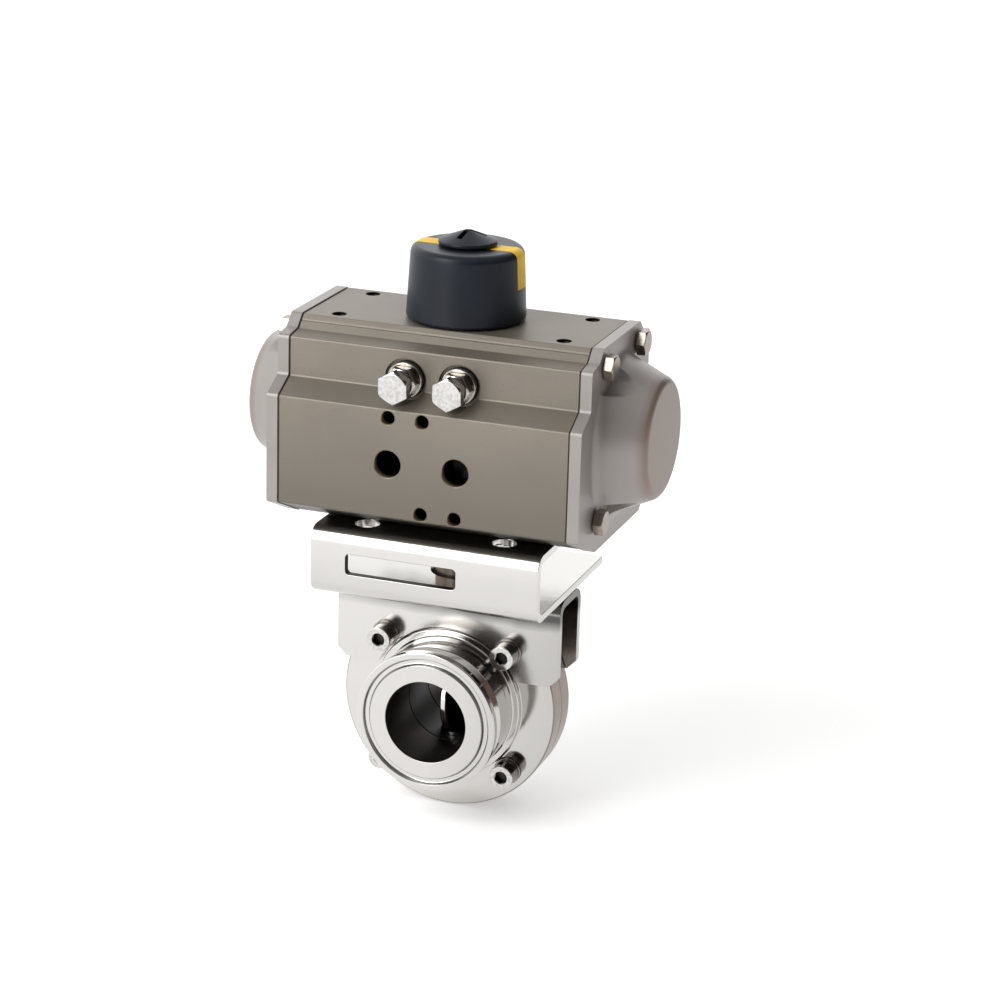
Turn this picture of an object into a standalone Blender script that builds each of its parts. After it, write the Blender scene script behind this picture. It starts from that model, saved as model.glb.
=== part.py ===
"""Pneumatic sanitary butterfly valve: a double-acting quarter-turn actuator on a clamp-end valve.

Metres, +Z up. The origin is the centre of the valve: the flow axis (Y) crosses the shaft axis (Z).
The actuator lies along X. The valve is modelled open: its disc stands in line with the flow and
both pistons are at the outer ends of their stroke. Closing turns the shaft a quarter turn
clockwise, seen from above, and draws both pistons inwards.
"""

import math

import bmesh
import bpy
from mathutils import Matrix, Vector

# Clearances between pieces that touch on the bench
SEAT = 0.0003
RUNNING = 0.0003
HOLE_ROOM = 0.0003

# How finely round pieces are faceted
FINE = 24
MEDIUM = 16
COARSE = 12
SMALL = 8

# Valve body: clamp ferrule, neck, step and bolted flange
BORE_R = 0.0145
FERRULE_R = 0.02525
FERRULE_EDGE = 0.00285
FERRULE_BACK_ANGLE = math.radians(20)
CLAMP_GROOVE_DEPTH = 0.00355
CLAMP_GROOVE_W = 0.0012
GASKET_GROOVE_R = 0.02175
GASKET_GROOVE_W = 0.0020
GASKET_GROOVE_DEPTH = 0.0012
NECK_INSET = 0.00075
STEP_RISE = 0.0024
STEP_T = 0.0025
HALF_FACE_TO_FACE = 0.0308
FLANGE_T = 0.0081
FLANGE_EDGE = 0.0069
RIM_CHAMFER = 0.0006
SPLIT_GAP = 0.0003

# Seat ring between the two valve halves
SEAT_RING_WALL = 0.0045
SEAT_RING_HALF_W = 0.0090
SEAT_RIB_H = 0.0050
SEAT_RIB_HALF_W = 0.0030

# Disc and stem
STEM_R = 0.0050
DISC_EDGE_T = 0.0026
DISC_HUB_T = 0.0080
DISC_FACE_R = 0.0055
STEM_BUSH_WALL = 0.0014
STEM_FOOT = 0.0080
STEM_TANG_H = 0.0120

# Screws through the two halves
BODY_SCREW_R = 0.0025
BODY_SCREW_HEAD_R = 0.00425
BODY_SCREW_HEAD_H = 0.0050
BODY_SCREW_SOCKET = 0.0040
BODY_SCREW_SOCKET_DEPTH = 0.0025
LOCK_WASHER_R = 0.0048
LOCK_WASHER_T = 0.0021
LOCK_WASHER_FOOT_T = 0.0009
LOCK_WASHER_COLLAR_R = 0.0043
BODY_NUT_FLATS = 0.0080
BODY_NUT_H = 0.0040
SCREW_SPARE = 0.0015

# Saddle: the bent plate that straddles the valve flange
SADDLE_SHEET = 0.0028
SADDLE_BEND_R = 0.0055
SADDLE_LEG_BELOW_SCREW = 0.0108
SADDLE_CORNER = 0.0033
NOTCH_ROOM = 0.0010
WEB_ROOM = 0.0009

# Frame: the channel between saddle and actuator, open at the rear
FRAME_SHEET = 0.0028
FRAME_HALF_W = 0.0409
FRAME_PROUD = 0.0001
FRAME_H = 0.0239
FRAME_FRONT = 0.0360
FRAME_REAR = 0.0340
FRAME_BEND_R = 0.0050
WINDOW_LEFT = -0.0281
WINDOW_W = 0.0397
WINDOW_SILL = 0.0086
WINDOW_H = 0.0072
WINDOW_CORNER = 0.0014
SPARE_HOLE_HALF = 0.02475
SPARE_HOLE_R = 0.0043
SHAFT_HOLE_ROOM = 0.0016

# Coupling between stem and pinion
COUPLING_R = 0.0085
DRIVE_SQUARE = 0.0110
DRIVE_SQUARE_H = 0.0100

# Actuator body, measured from the axis of its cylinder bore
CYLINDER_R = 0.0260
ROOF = 0.0078
FLOOR = 0.0092
SIDE_WALL = 0.0048
PAD_RISE = 0.0091
PAD_SLOPE = 0.0038
TOP_CHAMFER = 0.0042
SHOULDER_DROP = 0.0010
TOP_EDGE = 0.0046
FOOT_EDGE = 0.0038
BODY_CORNER_R = 0.0006

# Standard interfaces of the actuator
PORT_Z = -0.0086
PORT_HALF_X = 0.0120
PORT_R = 0.0049
PORT_DEPTH = 0.0110
PORT_SCREW_DZ = 0.0160
PORT_SCREW_R = 0.0022
PORT_SCREW_DEPTH = 0.0080
PAD_EDGE_UP = 0.0029
PAD_EDGE_DOWN = 0.0024
TOP_HOLE_HALF_X = 0.0400
TOP_HOLE_HALF_Y = 0.0150
TOP_HOLE_R = 0.0022
TOP_HOLE_DEPTH = 0.0080
TOP_RELIEF = 0.0002
AIR_CHANNEL_R = 0.0020
AIR_CHANNEL_BELOW_PORT = 0.0114

# Bolts from the frame into the actuator's foot
FOOT_BOLT_HALF = 0.01768
FOOT_BOLT_R = 0.0030
FOOT_BOLT_FLATS = 0.0100
FOOT_BOLT_HEAD_H = 0.0040
FOOT_BOLT_DEPTH = 0.0100
FOOT_BOLT_COLLAR_R = 0.0062
FOOT_BOLT_COLLAR_T = 0.0012

# Rack and pinion
MODULE = 0.00125
TEETH = 16
PRESSURE_ANGLE = math.radians(20)
QUARTER_TURN = math.radians(90)
PINION_ADDENDUM = 0.00125
PINION_DEDENDUM = 0.0015
RACK_ADDENDUM = 0.0010
RACK_DEDENDUM = 0.0016
BACKLASH = 0.00025
RACK_NARROWER = 0.0030
RACK_REACH = 0.0061
RACK_BACK_ROOM = 0.0004

# Pistons
PISTON_T = 0.0110
PISTON_GAP = 0.0010
PISTON_END_ROOM = 0.001134
PISTON_SEAL_R = 0.0010
PISTON_SEAL_BACK = 0.0023
PISTON_DISH_R = 0.0140
PISTON_DISH_DEPTH = 0.0035

# Pinion shaft above and below its teeth
JOURNAL_STEP = 0.00035
NECK_BELOW_TEETH_R = 0.0083
LOWER_JOURNAL_H = 0.0120
LOWER_BUSH_WALL = 0.0013
LOWER_BUSH_H = 0.0044
SHAFT_SEAL_R = 0.00075
SHAFT_SEAL_LIFT = 0.0068
CAM_SHOULDER = 0.0045
CAM_SEAT_STEP = 0.0013
CAM_FLAT_STEP = 0.0002
CAM_T = 0.0065
UPPER_JOURNAL_R = 0.0080
UPPER_BUSH_WALL = 0.0017
UPPER_BUSH_FLANGE = 0.0044
UPPER_BUSH_FLANGE_T = 0.0034
UPPER_BUSH_TOP = 0.0030
TOP_WASHER_R = 0.0125
TOP_WASHER_T = 0.0010
SNAP_RING_R = 0.0103
SNAP_RING_T = 0.0010
SNAP_RING_GROOVE = 0.0010
SNAP_RING_OPENING = 0.0040
TANG_R = 0.0065
TANG_FLATS_HALF = 0.0050
TANG_H = 0.0200
TANG_SLOT_W = 0.0040
TANG_SLOT_DEPTH = 0.0035
TANG_HOLE_R = 0.0026
TANG_HOLE_DEPTH = 0.0120

# Stop cam and the two stop screws that limit its travel
CAM_HUB_R = 0.0106
STOP_X = 0.0095
STOP_R = 0.0030
STOP_TIP_Y = 0.0090
CAM_LOBE_MARGIN = 0.0027
STOP_FACE_CUT = 0.0020
STOP_SPOT_R = 0.0074
STOP_SEAL_R = 0.0064
STOP_SEAL_T = 0.0015
STOP_WASHER_R = 0.0062
STOP_WASHER_T = 0.0012
STOP_NUT_FLATS = 0.0100
STOP_NUT_H = 0.0045
STOP_THREAD_SHOWN = 0.0020
STOP_HEAD_H = 0.0040

# End caps
GASKET_T = 0.0006
CAP_FLANGE_T = 0.0036
CAP_CORNER_R = 0.0016
CAP_CONE_STEP = 0.0020
CAP_FACE_R = 0.0200
CAP_CONE_H = 0.0161
CAP_WALL = 0.0028
CAP_EDGE_R = 0.0012
CAP_SCREW_R = 0.0025
CAP_SCREW_FLATS = 0.0080
CAP_SCREW_HEAD_H = 0.0035
CAP_SCREW_DEPTH = 0.0120
CAP_SCREW_TOP_INSET = 0.0021
CAP_SCREW_TOP_DROP = 0.0064
CAP_SCREW_LOW_INSET = 0.0035
CAP_SCREW_LOW_LIFT = 0.0017
CAP_POCKET_R = 0.0095
CAP_LOW_POCKET_ABOVE_SCREW = 0.0045
CAP_LOW_POCKET_INNER_Y = 0.0092
AIR_SLOT_W = 0.0040
AIR_SLOT_DEPTH = 0.0018

# Position indicator on top of the pinion
INDICATOR_BASE_R = 0.0204
INDICATOR_TOP_R = 0.0191
INDICATOR_H = 0.0245
INDICATOR_LIFT = 0.0005
INDICATOR_FOOT_EDGE = 0.0009
INDICATOR_EDGE_R = 0.0028
INDICATOR_WALL = 0.0022
INDICATOR_BOSS_WALL = 0.0026
INDICATOR_BOSS_H = 0.0090
STRIPE_W = 0.0076
STRIPE_DROP = 0.0130
STRIPE_T = 0.0009
STRIPE_PROUD = 0.0001
KNOB_R = 0.0100
KNOB_H = 0.0012
KNOB_CONE_H = 0.0036
KNOB_CONE_TOP_R = 0.0014
KNOB_SLOT_W = 0.0018
KNOB_SLOT_START = 0.0007
KNOB_SLOT_END = 0.0062
KNOB_SLOT_TURNS = (20, 140, 260)
KNOB_SCREW_R = 0.0023
KNOB_SCREW_REACH = 0.0090

# Derived sizes of the valve
NECK_R = FERRULE_R - NECK_INSET
STEP_R = NECK_R + STEP_RISE
SCREW_CIRCLE_R = STEP_R + LOCK_WASHER_R + SEAT
SCREW_HALF = SCREW_CIRCLE_R / math.sqrt(2)
FLANGE_R = SCREW_CIRCLE_R + FLANGE_EDGE
SEAT_RING_R = BORE_R + SEAT_RING_WALL
SEAT_RIB_R = SEAT_RING_R + SEAT_RIB_H
DISC_R = BORE_R - RUNNING
STEM_BUSH_R = STEM_R + RUNNING + STEM_BUSH_WALL
STEM_HOLE_R = STEM_BUSH_R + HOLE_ROOM
LEG_INNER_Y = FLANGE_T + SEAT
LEG_OUTER_Y = LEG_INNER_Y + SADDLE_SHEET

# Derived heights of the stack from valve to actuator
SADDLE_HALF_W = FRAME_HALF_W - FRAME_PROUD
WEB_BOTTOM_Z = FLANGE_R + WEB_ROOM
WEB_TOP_Z = WEB_BOTTOM_Z + SADDLE_SHEET
FRAME_BOTTOM_Z = WEB_TOP_Z + SEAT
FRAME_TOP_Z = FRAME_BOTTOM_Z + FRAME_H
FOOT_Z = FRAME_TOP_Z + SEAT
BODY_BELOW = CYLINDER_R + FLOOR
BODY_ABOVE = CYLINDER_R + ROOF
AXIS_Z = FOOT_Z + BODY_BELOW
SHAFT_HOLE_R = COUPLING_R + SHAFT_HOLE_ROOM

# Derived sizes of the actuator; the stop cam hangs under the cylinder's roof
CAM_TOP_Z = CYLINDER_R - UPPER_BUSH_FLANGE_T - SEAT * 2
CAM_Z = CAM_TOP_Z - CAM_T
PINION_HALF_FACE = CAM_Z - CAM_SHOULDER
RACK_HALF_FACE = PINION_HALF_FACE - RACK_NARROWER
PITCH_R = MODULE * TEETH / 2
PINION_TIP_R = PITCH_R + PINION_ADDENDUM
PINION_ROOT_R = PITCH_R - PINION_DEDENDUM
STROKE = PITCH_R * QUARTER_TURN
PISTON_INNER_X = 2 * STROKE + RACK_REACH + PISTON_GAP
PISTON_OUTER_X = PISTON_INNER_X + PISTON_T
BODY_HALF_L = PISTON_OUTER_X + PISTON_END_ROOM
PISTON_R = CYLINDER_R - RUNNING
RACK_BACK_R = CYLINDER_R - RACK_BACK_ROOM
WALL_Y = CYLINDER_R + SIDE_WALL
PAD_Y = WALL_Y + PAD_RISE
PAD_TOP_Z = PORT_Z + PORT_SCREW_DZ + PAD_EDGE_UP
PAD_BOTTOM_Z = PORT_Z - PORT_SCREW_DZ - PAD_EDGE_DOWN
TOP_HALF_W = TOP_HOLE_HALF_Y + TOP_EDGE
FOOT_FRONT_Y = FOOT_BOLT_HALF + FOOT_EDGE
GASKET_X = BODY_HALF_L + SEAT
CAP_X = GASKET_X + GASKET_T + SEAT
CAP_FACE_X = CAP_X + CAP_FLANGE_T + CAP_CONE_H
CAP_CONE_R = CYLINDER_R + CAP_CONE_STEP
CAP_SCREWS = (
    (TOP_HALF_W - CAP_SCREW_TOP_INSET, BODY_ABOVE - CAP_SCREW_TOP_DROP),
    (CYLINDER_R - CAP_SCREW_LOW_INSET, CAP_SCREW_LOW_LIFT - CYLINDER_R),
)
LOWER_JOURNAL_R = PINION_TIP_R + JOURNAL_STEP
LOWER_BUSH_R = LOWER_JOURNAL_R + RUNNING + LOWER_BUSH_WALL
CAM_SEAT_R = UPPER_JOURNAL_R + CAM_SEAT_STEP
CAM_FLAT = UPPER_JOURNAL_R + CAM_FLAT_STEP
STOP_Z = CAM_Z + STOP_R
UPPER_BUSH_R = UPPER_JOURNAL_R + RUNNING + UPPER_BUSH_WALL
UPPER_FLANGE_R = UPPER_JOURNAL_R + RUNNING + UPPER_BUSH_FLANGE
TANG_TOP_Z = BODY_ABOVE + TANG_H
STOP_FACE_Y = WALL_Y - STOP_FACE_CUT
INDICATOR_Z = BODY_ABOVE + INDICATOR_LIFT
INDICATOR_TOP_Z = INDICATOR_Z + INDICATOR_H

# Materials: colour, roughness, metallic
FINISHES = {
    "anodised_body": ((0.265, 0.238, 0.195, 1), 0.45, 0.7),
    "cast_cap": ((0.46, 0.45, 0.43, 1), 0.42, 0.6),
    "bright_steel": ((0.72, 0.71, 0.69, 1), 0.16, 1.0),
    "satin_steel": ((0.60, 0.59, 0.57, 1), 0.28, 1.0),
    "black_plastic": ((0.022, 0.024, 0.030, 1), 0.40, 0.0),
    "yellow_plastic": ((0.86, 0.58, 0.06, 1), 0.35, 0.0),
    "black_rubber": ((0.012, 0.011, 0.010, 1), 0.60, 0.0),
    "white_acetal": ((0.80, 0.79, 0.74, 1), 0.45, 0.0),
    "bare_aluminium": ((0.66, 0.66, 0.65, 1), 0.35, 1.0),
}


def clear_scene():
    """Remove every object that a new file starts with."""
    for item in list(bpy.data.objects):
        bpy.data.objects.remove(item, do_unlink=True)


def finish(name):
    """Return the material of that name, made on first use."""
    found = bpy.data.materials.get(name)
    if found:
        return found
    colour, roughness, metallic = FINISHES[name]
    made = bpy.data.materials.new(name)
    made.use_nodes = True
    shader = made.node_tree.nodes["Principled BSDF"]
    shader.inputs["Base Color"].default_value = colour
    shader.inputs["Roughness"].default_value = roughness
    shader.inputs["Metallic"].default_value = metallic
    made.diffuse_color = colour
    return made


def to_object(name, shape, finish_name=None):
    """Turn a bmesh into a linked object, smooth where its faces meet gently."""
    bmesh.ops.recalc_face_normals(shape, faces=shape.faces)
    mesh = bpy.data.meshes.new(name)
    shape.to_mesh(mesh)
    shape.free()
    mesh.shade_smooth()
    mesh.set_sharp_from_angle(angle=math.radians(35))
    made = bpy.data.objects.new(name, mesh)
    bpy.context.collection.objects.link(made)
    if finish_name:
        mesh.materials.append(finish(finish_name))
    return made


def along(axis, first, second, height):
    """Place two in-plane coordinates and a height along the named axis."""
    if axis == "X":
        return Vector((height, first, second))
    if axis == "Y":
        return Vector((first, height, second))
    return Vector((first, second, height))


def turned(profile, axis="Z", centre=(0.0, 0.0), steps=MEDIUM):
    """Turn (radius, height) points about an axis; an open profile starts and ends on the axis."""
    shape = bmesh.new()
    corners = [shape.verts.new(along(axis, radius, 0.0, height)) for radius, height in profile]
    solid = profile[0][0] == 0 and profile[-1][0] == 0
    last = len(corners) - 1 if solid else len(corners)
    edges = [shape.edges.new((corners[i], corners[(i + 1) % len(corners)])) for i in range(last)]
    direction = along(axis, 0, 0, 1)
    bmesh.ops.spin(
        shape, geom=corners + edges, cent=(0, 0, 0), axis=direction,
        steps=steps, angle=math.tau, use_merge=True)
    bmesh.ops.remove_doubles(shape, verts=shape.verts, dist=1e-7)
    bmesh.ops.translate(shape, verts=shape.verts, vec=along(axis, centre[0], centre[1], 0))
    return shape


def rod(radius, start, end, axis="Z", centre=(0.0, 0.0), steps=COARSE):
    """Plain cylinder between two heights along an axis."""
    return turned([(0, start), (radius, start), (radius, end), (0, end)], axis, centre, steps)


def ring(inner, outer, start, end, axis="Z", centre=(0.0, 0.0), steps=COARSE):
    """Flat ring with square edges."""
    profile = [(inner, start), (outer, start), (outer, end), (inner, end)]
    return turned(profile, axis, centre, steps)


def round_ring(radius, wire_r, height, axis="Z", steps=MEDIUM, sides=8):
    """Sealing ring of round section."""
    turns = [math.tau * (i + 0.5) / sides for i in range(sides)]
    profile = [(radius + wire_r * math.cos(t), height + wire_r * math.sin(t)) for t in turns]
    return turned(profile, axis, steps=steps)


def prism(outline, start, end, axis="Z"):
    """Extrude a closed outline along an axis."""
    shape = bmesh.new()
    corners = [shape.verts.new(along(axis, first, second, start)) for first, second in outline]
    face = shape.faces.new(corners)
    grown = bmesh.ops.extrude_face_region(shape, geom=[face])
    moved = [item for item in grown["geom"] if isinstance(item, bmesh.types.BMVert)]
    bmesh.ops.translate(shape, verts=moved, vec=along(axis, 0, 0, end - start))
    return shape


def block(low, high):
    """Box between two corners."""
    outline = [(low[0], low[1]), (high[0], low[1]), (high[0], high[1]), (low[0], high[1])]
    return prism(outline, low[2], high[2])


def polygon(flats, sides, centre=(0.0, 0.0), turn=0.0):
    """Regular polygon by its width across flats."""
    corner_r = flats / 2 / math.cos(math.pi / sides)
    points = []
    for i in range(sides):
        angle = turn + math.tau * (i + 0.5) / sides
        points.append((centre[0] + corner_r * math.cos(angle), centre[1] + corner_r * math.sin(angle)))
    return points


def rounded(points, radius, steps=3):
    """Round every corner of an outline; radius is one value or one for each corner."""
    count = len(points)
    radii = radius if isinstance(radius, (list, tuple)) else [radius] * count
    result = []
    for i, corner in enumerate(points):
        here = Vector(corner)
        back = Vector(points[i - 1]) - here
        ahead = Vector(points[(i + 1) % count]) - here
        half_angle = back.angle(ahead) / 2
        reach = min(back.length, ahead.length) / 2
        size = min(radii[i], reach * math.tan(half_angle))
        if size < 1e-6:
            result.append(tuple(here))
            continue
        inward = (back.normalized() + ahead.normalized()).normalized()
        centre = here + inward * (size / math.sin(half_angle))
        first = here + back.normalized() * (size / math.tan(half_angle)) - centre
        last = here + ahead.normalized() * (size / math.tan(half_angle)) - centre
        sweep = first.angle_signed(last)
        for step in range(steps + 1):
            arm = first.copy()
            arm.rotate(Matrix.Rotation(-sweep * step / steps, 2))
            result.append(tuple(centre + arm))
    return result


def grown(points, distance):
    """Offset an outline outwards by a mitred distance; points run anticlockwise."""
    result = []
    count = len(points)
    for i, corner in enumerate(points):
        here = Vector(corner)
        back = (here - Vector(points[i - 1])).normalized()
        ahead = (Vector(points[(i + 1) % count]) - here).normalized()
        normal_back = Vector((back.y, -back.x))
        normal_ahead = Vector((ahead.y, -ahead.x))
        middle = (normal_back + normal_ahead).normalized()
        result.append(tuple(here + middle * (distance / middle.dot(normal_back))))
    return result


def merged(shapes):
    """Join separate bmeshes that don't touch into one."""
    whole = bmesh.new()
    for shape in shapes:
        part = bpy.data.meshes.new("part")
        shape.to_mesh(part)
        shape.free()
        whole.from_mesh(part)
        bpy.data.meshes.remove(part)
    return whole


def combine(target, shape, operation):
    """Cut a bmesh from an object, or add or keep what they share, and keep the result."""
    tool = to_object("tool", shape)
    step = target.modifiers.new("combine", "BOOLEAN")
    step.operation = operation
    step.solver = "EXACT"
    step.object = tool
    depsgraph = bpy.context.evaluated_depsgraph_get()
    result = bpy.data.meshes.new_from_object(target.evaluated_get(depsgraph))
    target.modifiers.clear()
    old = target.data
    result.name = target.name
    target.data = result
    bpy.data.meshes.remove(old)
    used = tool.data
    bpy.data.objects.remove(tool, do_unlink=True)
    bpy.data.meshes.remove(used)
    tidy(result)
    return target


def tidy(mesh):
    """Weld what a cut left doubled and drop slivers."""
    shape = bmesh.new()
    shape.from_mesh(mesh)
    bmesh.ops.remove_doubles(shape, verts=shape.verts, dist=2e-6)
    bmesh.ops.dissolve_degenerate(shape, edges=shape.edges, dist=2e-6)
    shape.to_mesh(mesh)
    shape.free()
    mesh.shade_smooth()
    mesh.set_sharp_from_angle(angle=math.radians(35))


def cut(target, *shapes):
    """Cut each bmesh from the object."""
    for shape in shapes:
        combine(target, shape, "DIFFERENCE")
    return target


def fuse(target, *shapes):
    """Add each bmesh to the object."""
    for shape in shapes:
        combine(target, shape, "UNION")
    return target


def copied(source, name, matrix):
    """Copy an object's mesh through a matrix, turning its faces out again after a mirror."""
    shape = bmesh.new()
    shape.from_mesh(source.data)
    bmesh.ops.transform(shape, matrix=matrix, verts=shape.verts)
    if matrix.determinant() < 0:
        bmesh.ops.reverse_faces(shape, faces=shape.faces)
    mesh = bpy.data.meshes.new(name)
    shape.to_mesh(mesh)
    shape.free()
    mesh.materials.append(source.data.materials[0])
    mesh.shade_smooth()
    mesh.set_sharp_from_angle(angle=math.radians(35))
    made = bpy.data.objects.new(name, mesh)
    bpy.context.collection.objects.link(made)
    return made


MIRROR_X = Matrix.Diagonal((-1, 1, 1, 1))
MIRROR_Y = Matrix.Diagonal((1, -1, 1, 1))


def as_shape(item):
    """Take a helper object's mesh back as a bmesh and remove the object."""
    shape = bmesh.new()
    shape.from_mesh(item.data)
    mesh = item.data
    bpy.data.objects.remove(item, do_unlink=True)
    bpy.data.meshes.remove(mesh)
    return shape


def placed(item, location, turn=0.0):
    """Set an object at its place, turned about the vertical."""
    item.location = location
    item.rotation_euler = (0, 0, turn)
    return item


def twin(source, name, location, turn=0.0):
    """Another object of the same mesh at its own place."""
    made = bpy.data.objects.new(name, source.data)
    bpy.context.collection.objects.link(made)
    return placed(made, location, turn)


def twins(source, stem, places):
    """Give one piece to every place, {label: (location, turn)}; the source takes the first."""
    made = []
    for label, (location, turn) in places.items():
        name = stem + "_" + label
        if made:
            made.append(twin(source, name, location, turn))
        else:
            source.name = name
            source.data.name = stem
            made.append(placed(source, location, turn))
    return made


def empty(name, location, parent=None):
    """Empty that carries pieces; a moving group's empty stands on its joint's axis."""
    made = bpy.data.objects.new(name, None)
    made.empty_display_size = 0.02
    made.location = location
    made.parent = parent
    bpy.context.collection.objects.link(made)
    return made


def carry(carrier, pieces, offset=(0, 0, 0)):
    """Parent pieces to an empty, shifted by an offset from it."""
    for piece in pieces:
        piece.parent = carrier
        piece.location = piece.location + Vector(offset)


def signs():
    """The four corners of a symmetrical pattern."""
    return [(a, b) for a in (-1, 1) for b in (-1, 1)]


# Valve


def valve_half_profile():
    """Half body from its bore to its flange, as (radius, distance from the split)."""
    face = HALF_FACE_TO_FACE
    edge = face - FERRULE_EDGE
    groove_r = FERRULE_R - CLAMP_GROOVE_DEPTH
    groove_start = edge - CLAMP_GROOVE_DEPTH * math.tan(FERRULE_BACK_ANGLE)
    groove_end = groove_start - CLAMP_GROOVE_W
    neck_start = groove_end - (NECK_R - groove_r)
    step_face = FLANGE_T + STEP_T
    seal_out = GASKET_GROOVE_R + GASKET_GROOVE_W / 2
    seal_in = GASKET_GROOVE_R - GASKET_GROOVE_W / 2
    seal_floor = face - GASKET_GROOVE_DEPTH
    pocket_r = SEAT_RING_R + SEAT
    pocket_end = SEAT_RING_HALF_W + SEAT
    rib_r = SEAT_RIB_R + SEAT
    rib_end = SEAT_RIB_HALF_W + SEAT
    split = SPLIT_GAP / 2
    return [
        (BORE_R, face),
        (seal_in, face),
        (GASKET_GROOVE_R, seal_floor),
        (seal_out, face),
        (FERRULE_R, face),
        (FERRULE_R, edge),
        (groove_r, groove_start),
        (groove_r, groove_end),
        (NECK_R, neck_start),
        (NECK_R, step_face),
        (STEP_R, step_face),
        (STEP_R, FLANGE_T),
        (FLANGE_R - RIM_CHAMFER, FLANGE_T),
        (FLANGE_R, FLANGE_T - RIM_CHAMFER),
        (FLANGE_R, split),
        (rib_r, split),
        (rib_r, rib_end),
        (pocket_r, rib_end),
        (pocket_r, pocket_end),
        (BORE_R, pocket_end),
    ]


def screw_places(half):
    """Centres of a square screw pattern on the valve flange, x then z."""
    return [(a * half, b * half) for a, b in signs()]


def valve_bodies():
    """Front and rear half of the valve body, split across the stem."""
    front = to_object("valve_body_front", turned(
        [(radius, -distance) for radius, distance in valve_half_profile()], "Y", steps=FINE),
        "satin_steel")
    hole_r = BODY_SCREW_R + HOLE_ROOM
    over = FLANGE_T + STEP_T
    holes = [rod(hole_r, -over, SEAT, "Y", place, SMALL) for place in screw_places(SCREW_HALF)]
    stem_top = rod(STEM_HOLE_R, BORE_R, FLANGE_R + STEM_R, steps=COARSE)
    stem_foot = rod(STEM_R + RUNNING, -SEAT_RIB_R - STEM_FOOT, -BORE_R, steps=COARSE)
    cut(front, merged(holes), merged([stem_top, stem_foot]))
    rear = copied(front, "valve_body_rear", MIRROR_Y)
    return [front, rear]


def valve_seat():
    """Elastomer ring that lines the bore, held by its rib between the halves."""
    half, rib = SEAT_RING_HALF_W, SEAT_RIB_HALF_W
    profile = [
        (BORE_R, -half), (SEAT_RING_R, -half), (SEAT_RING_R, -rib), (SEAT_RIB_R, -rib),
        (SEAT_RIB_R, rib), (SEAT_RING_R, rib), (SEAT_RING_R, half), (BORE_R, half),
    ]
    made = to_object("valve_seat", turned(profile, "Y", steps=MEDIUM), "black_rubber")
    reach = SEAT_RIB_R + STEM_R
    return [cut(made, rod(STEM_R + RUNNING, -reach, reach, steps=COARSE))]


def stem_bush():
    """Plain bearing above the disc; below it the stem's foot turns in the body."""
    start = SEAT_RIB_R + SEAT * 2
    bush = ring(STEM_R + RUNNING, STEM_BUSH_R, start, FLANGE_R - SEAT)
    return [to_object("stem_bush", bush, "white_acetal")]


def valve_disc():
    """Disc with its stem in one piece: lens-shaped disc, round stem, square tang."""
    edge, hub = DISC_EDGE_T / 2, DISC_HUB_T / 2
    rim = DISC_R - edge / 2
    lens = turned([
        (0, -hub), (DISC_FACE_R, -hub), (rim, -edge), (DISC_R, -edge / 2),
        (DISC_R, edge / 2), (rim, edge), (DISC_FACE_R, hub), (0, hub),
    ], "X", steps=MEDIUM)
    made = to_object("valve_disc", lens, "bright_steel")
    foot = -SEAT_RIB_R - STEM_FOOT + SEAT * 2
    tang_start = FLANGE_R + SEAT
    stem = turned([
        (0, foot), (STEM_R - RIM_CHAMFER, foot), (STEM_R, foot + RIM_CHAMFER),
        (STEM_R, tang_start), (0, tang_start)], steps=COARSE)
    fuse(made, stem)
    square = prism(polygon(stem_square(), 4), tang_start - STEM_R / 2, tang_start + STEM_TANG_H)
    return [fuse(made, square)]


def stem_square():
    """Width across the flats of the stem's tang."""
    return STEM_R * math.sqrt(2) - RIM_CHAMFER / 4


def socket_screw(grip):
    """Socket cap screw along Y; y = 0 is the face that its washer lies on."""
    under = -(LOCK_WASHER_T + 2 * SEAT)
    head = under - BODY_SCREW_HEAD_H
    tip = grip + SEAT + BODY_NUT_H + SCREW_SPARE
    radius = BODY_SCREW_HEAD_R
    made = to_object("screw", turned([
        (0, head), (radius - RIM_CHAMFER, head), (radius, head + RIM_CHAMFER), (radius, under),
        (BODY_SCREW_R, under), (BODY_SCREW_R, tip), (0, tip)], "Y", steps=SMALL), "bright_steel")
    return cut(made, prism(polygon(BODY_SCREW_SOCKET, 6), head - SEAT,
                           head + BODY_SCREW_SOCKET_DEPTH, "Y"))


def lock_washer():
    """Washer under a screw head: wide foot and narrower collar."""
    hole = BODY_SCREW_R + HOLE_ROOM
    step = LOCK_WASHER_FOOT_T
    return to_object("washer", turned([
        (hole, 0), (LOCK_WASHER_R, 0), (LOCK_WASHER_R, -step), (LOCK_WASHER_COLLAR_R, -step),
        (LOCK_WASHER_COLLAR_R, -LOCK_WASHER_T), (hole, -LOCK_WASHER_T)], "Y", steps=COARSE),
        "bright_steel")


def body_nut():
    """Hexagon nut along Y."""
    made = to_object("nut", prism(polygon(BODY_NUT_FLATS, 6), 0, BODY_NUT_H, "Y"), "bright_steel")
    hole = BODY_SCREW_R + HOLE_ROOM
    return cut(made, rod(hole, -SEAT, BODY_NUT_H + SEAT, "Y", steps=SMALL))


def body_fasteners():
    """Screws, lock washers and nuts that clamp the halves and, at the top, the saddle's legs."""
    fronts, rears, made = {}, {}, []
    for level, up, face in (("top", 1, LEG_OUTER_Y), ("bottom", -1, FLANGE_T)):
        seats = {}
        for label, side in (("left", -1), ("right", 1)):
            x, z = side * SCREW_HALF, up * SCREW_HALF
            seats[level + "_" + label] = ((x, -face, z), 0.0)
            fronts[level + "_" + label] = ((x, -face - SEAT, z), 0.0)
            rears[level + "_" + label] = ((x, face + SEAT, z), 0.0)
        made += twins(socket_screw(2 * face), "body_screw", seats)
    return made + twins(lock_washer(), "lock_washer", fronts) + twins(body_nut(), "body_nut", rears)


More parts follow.
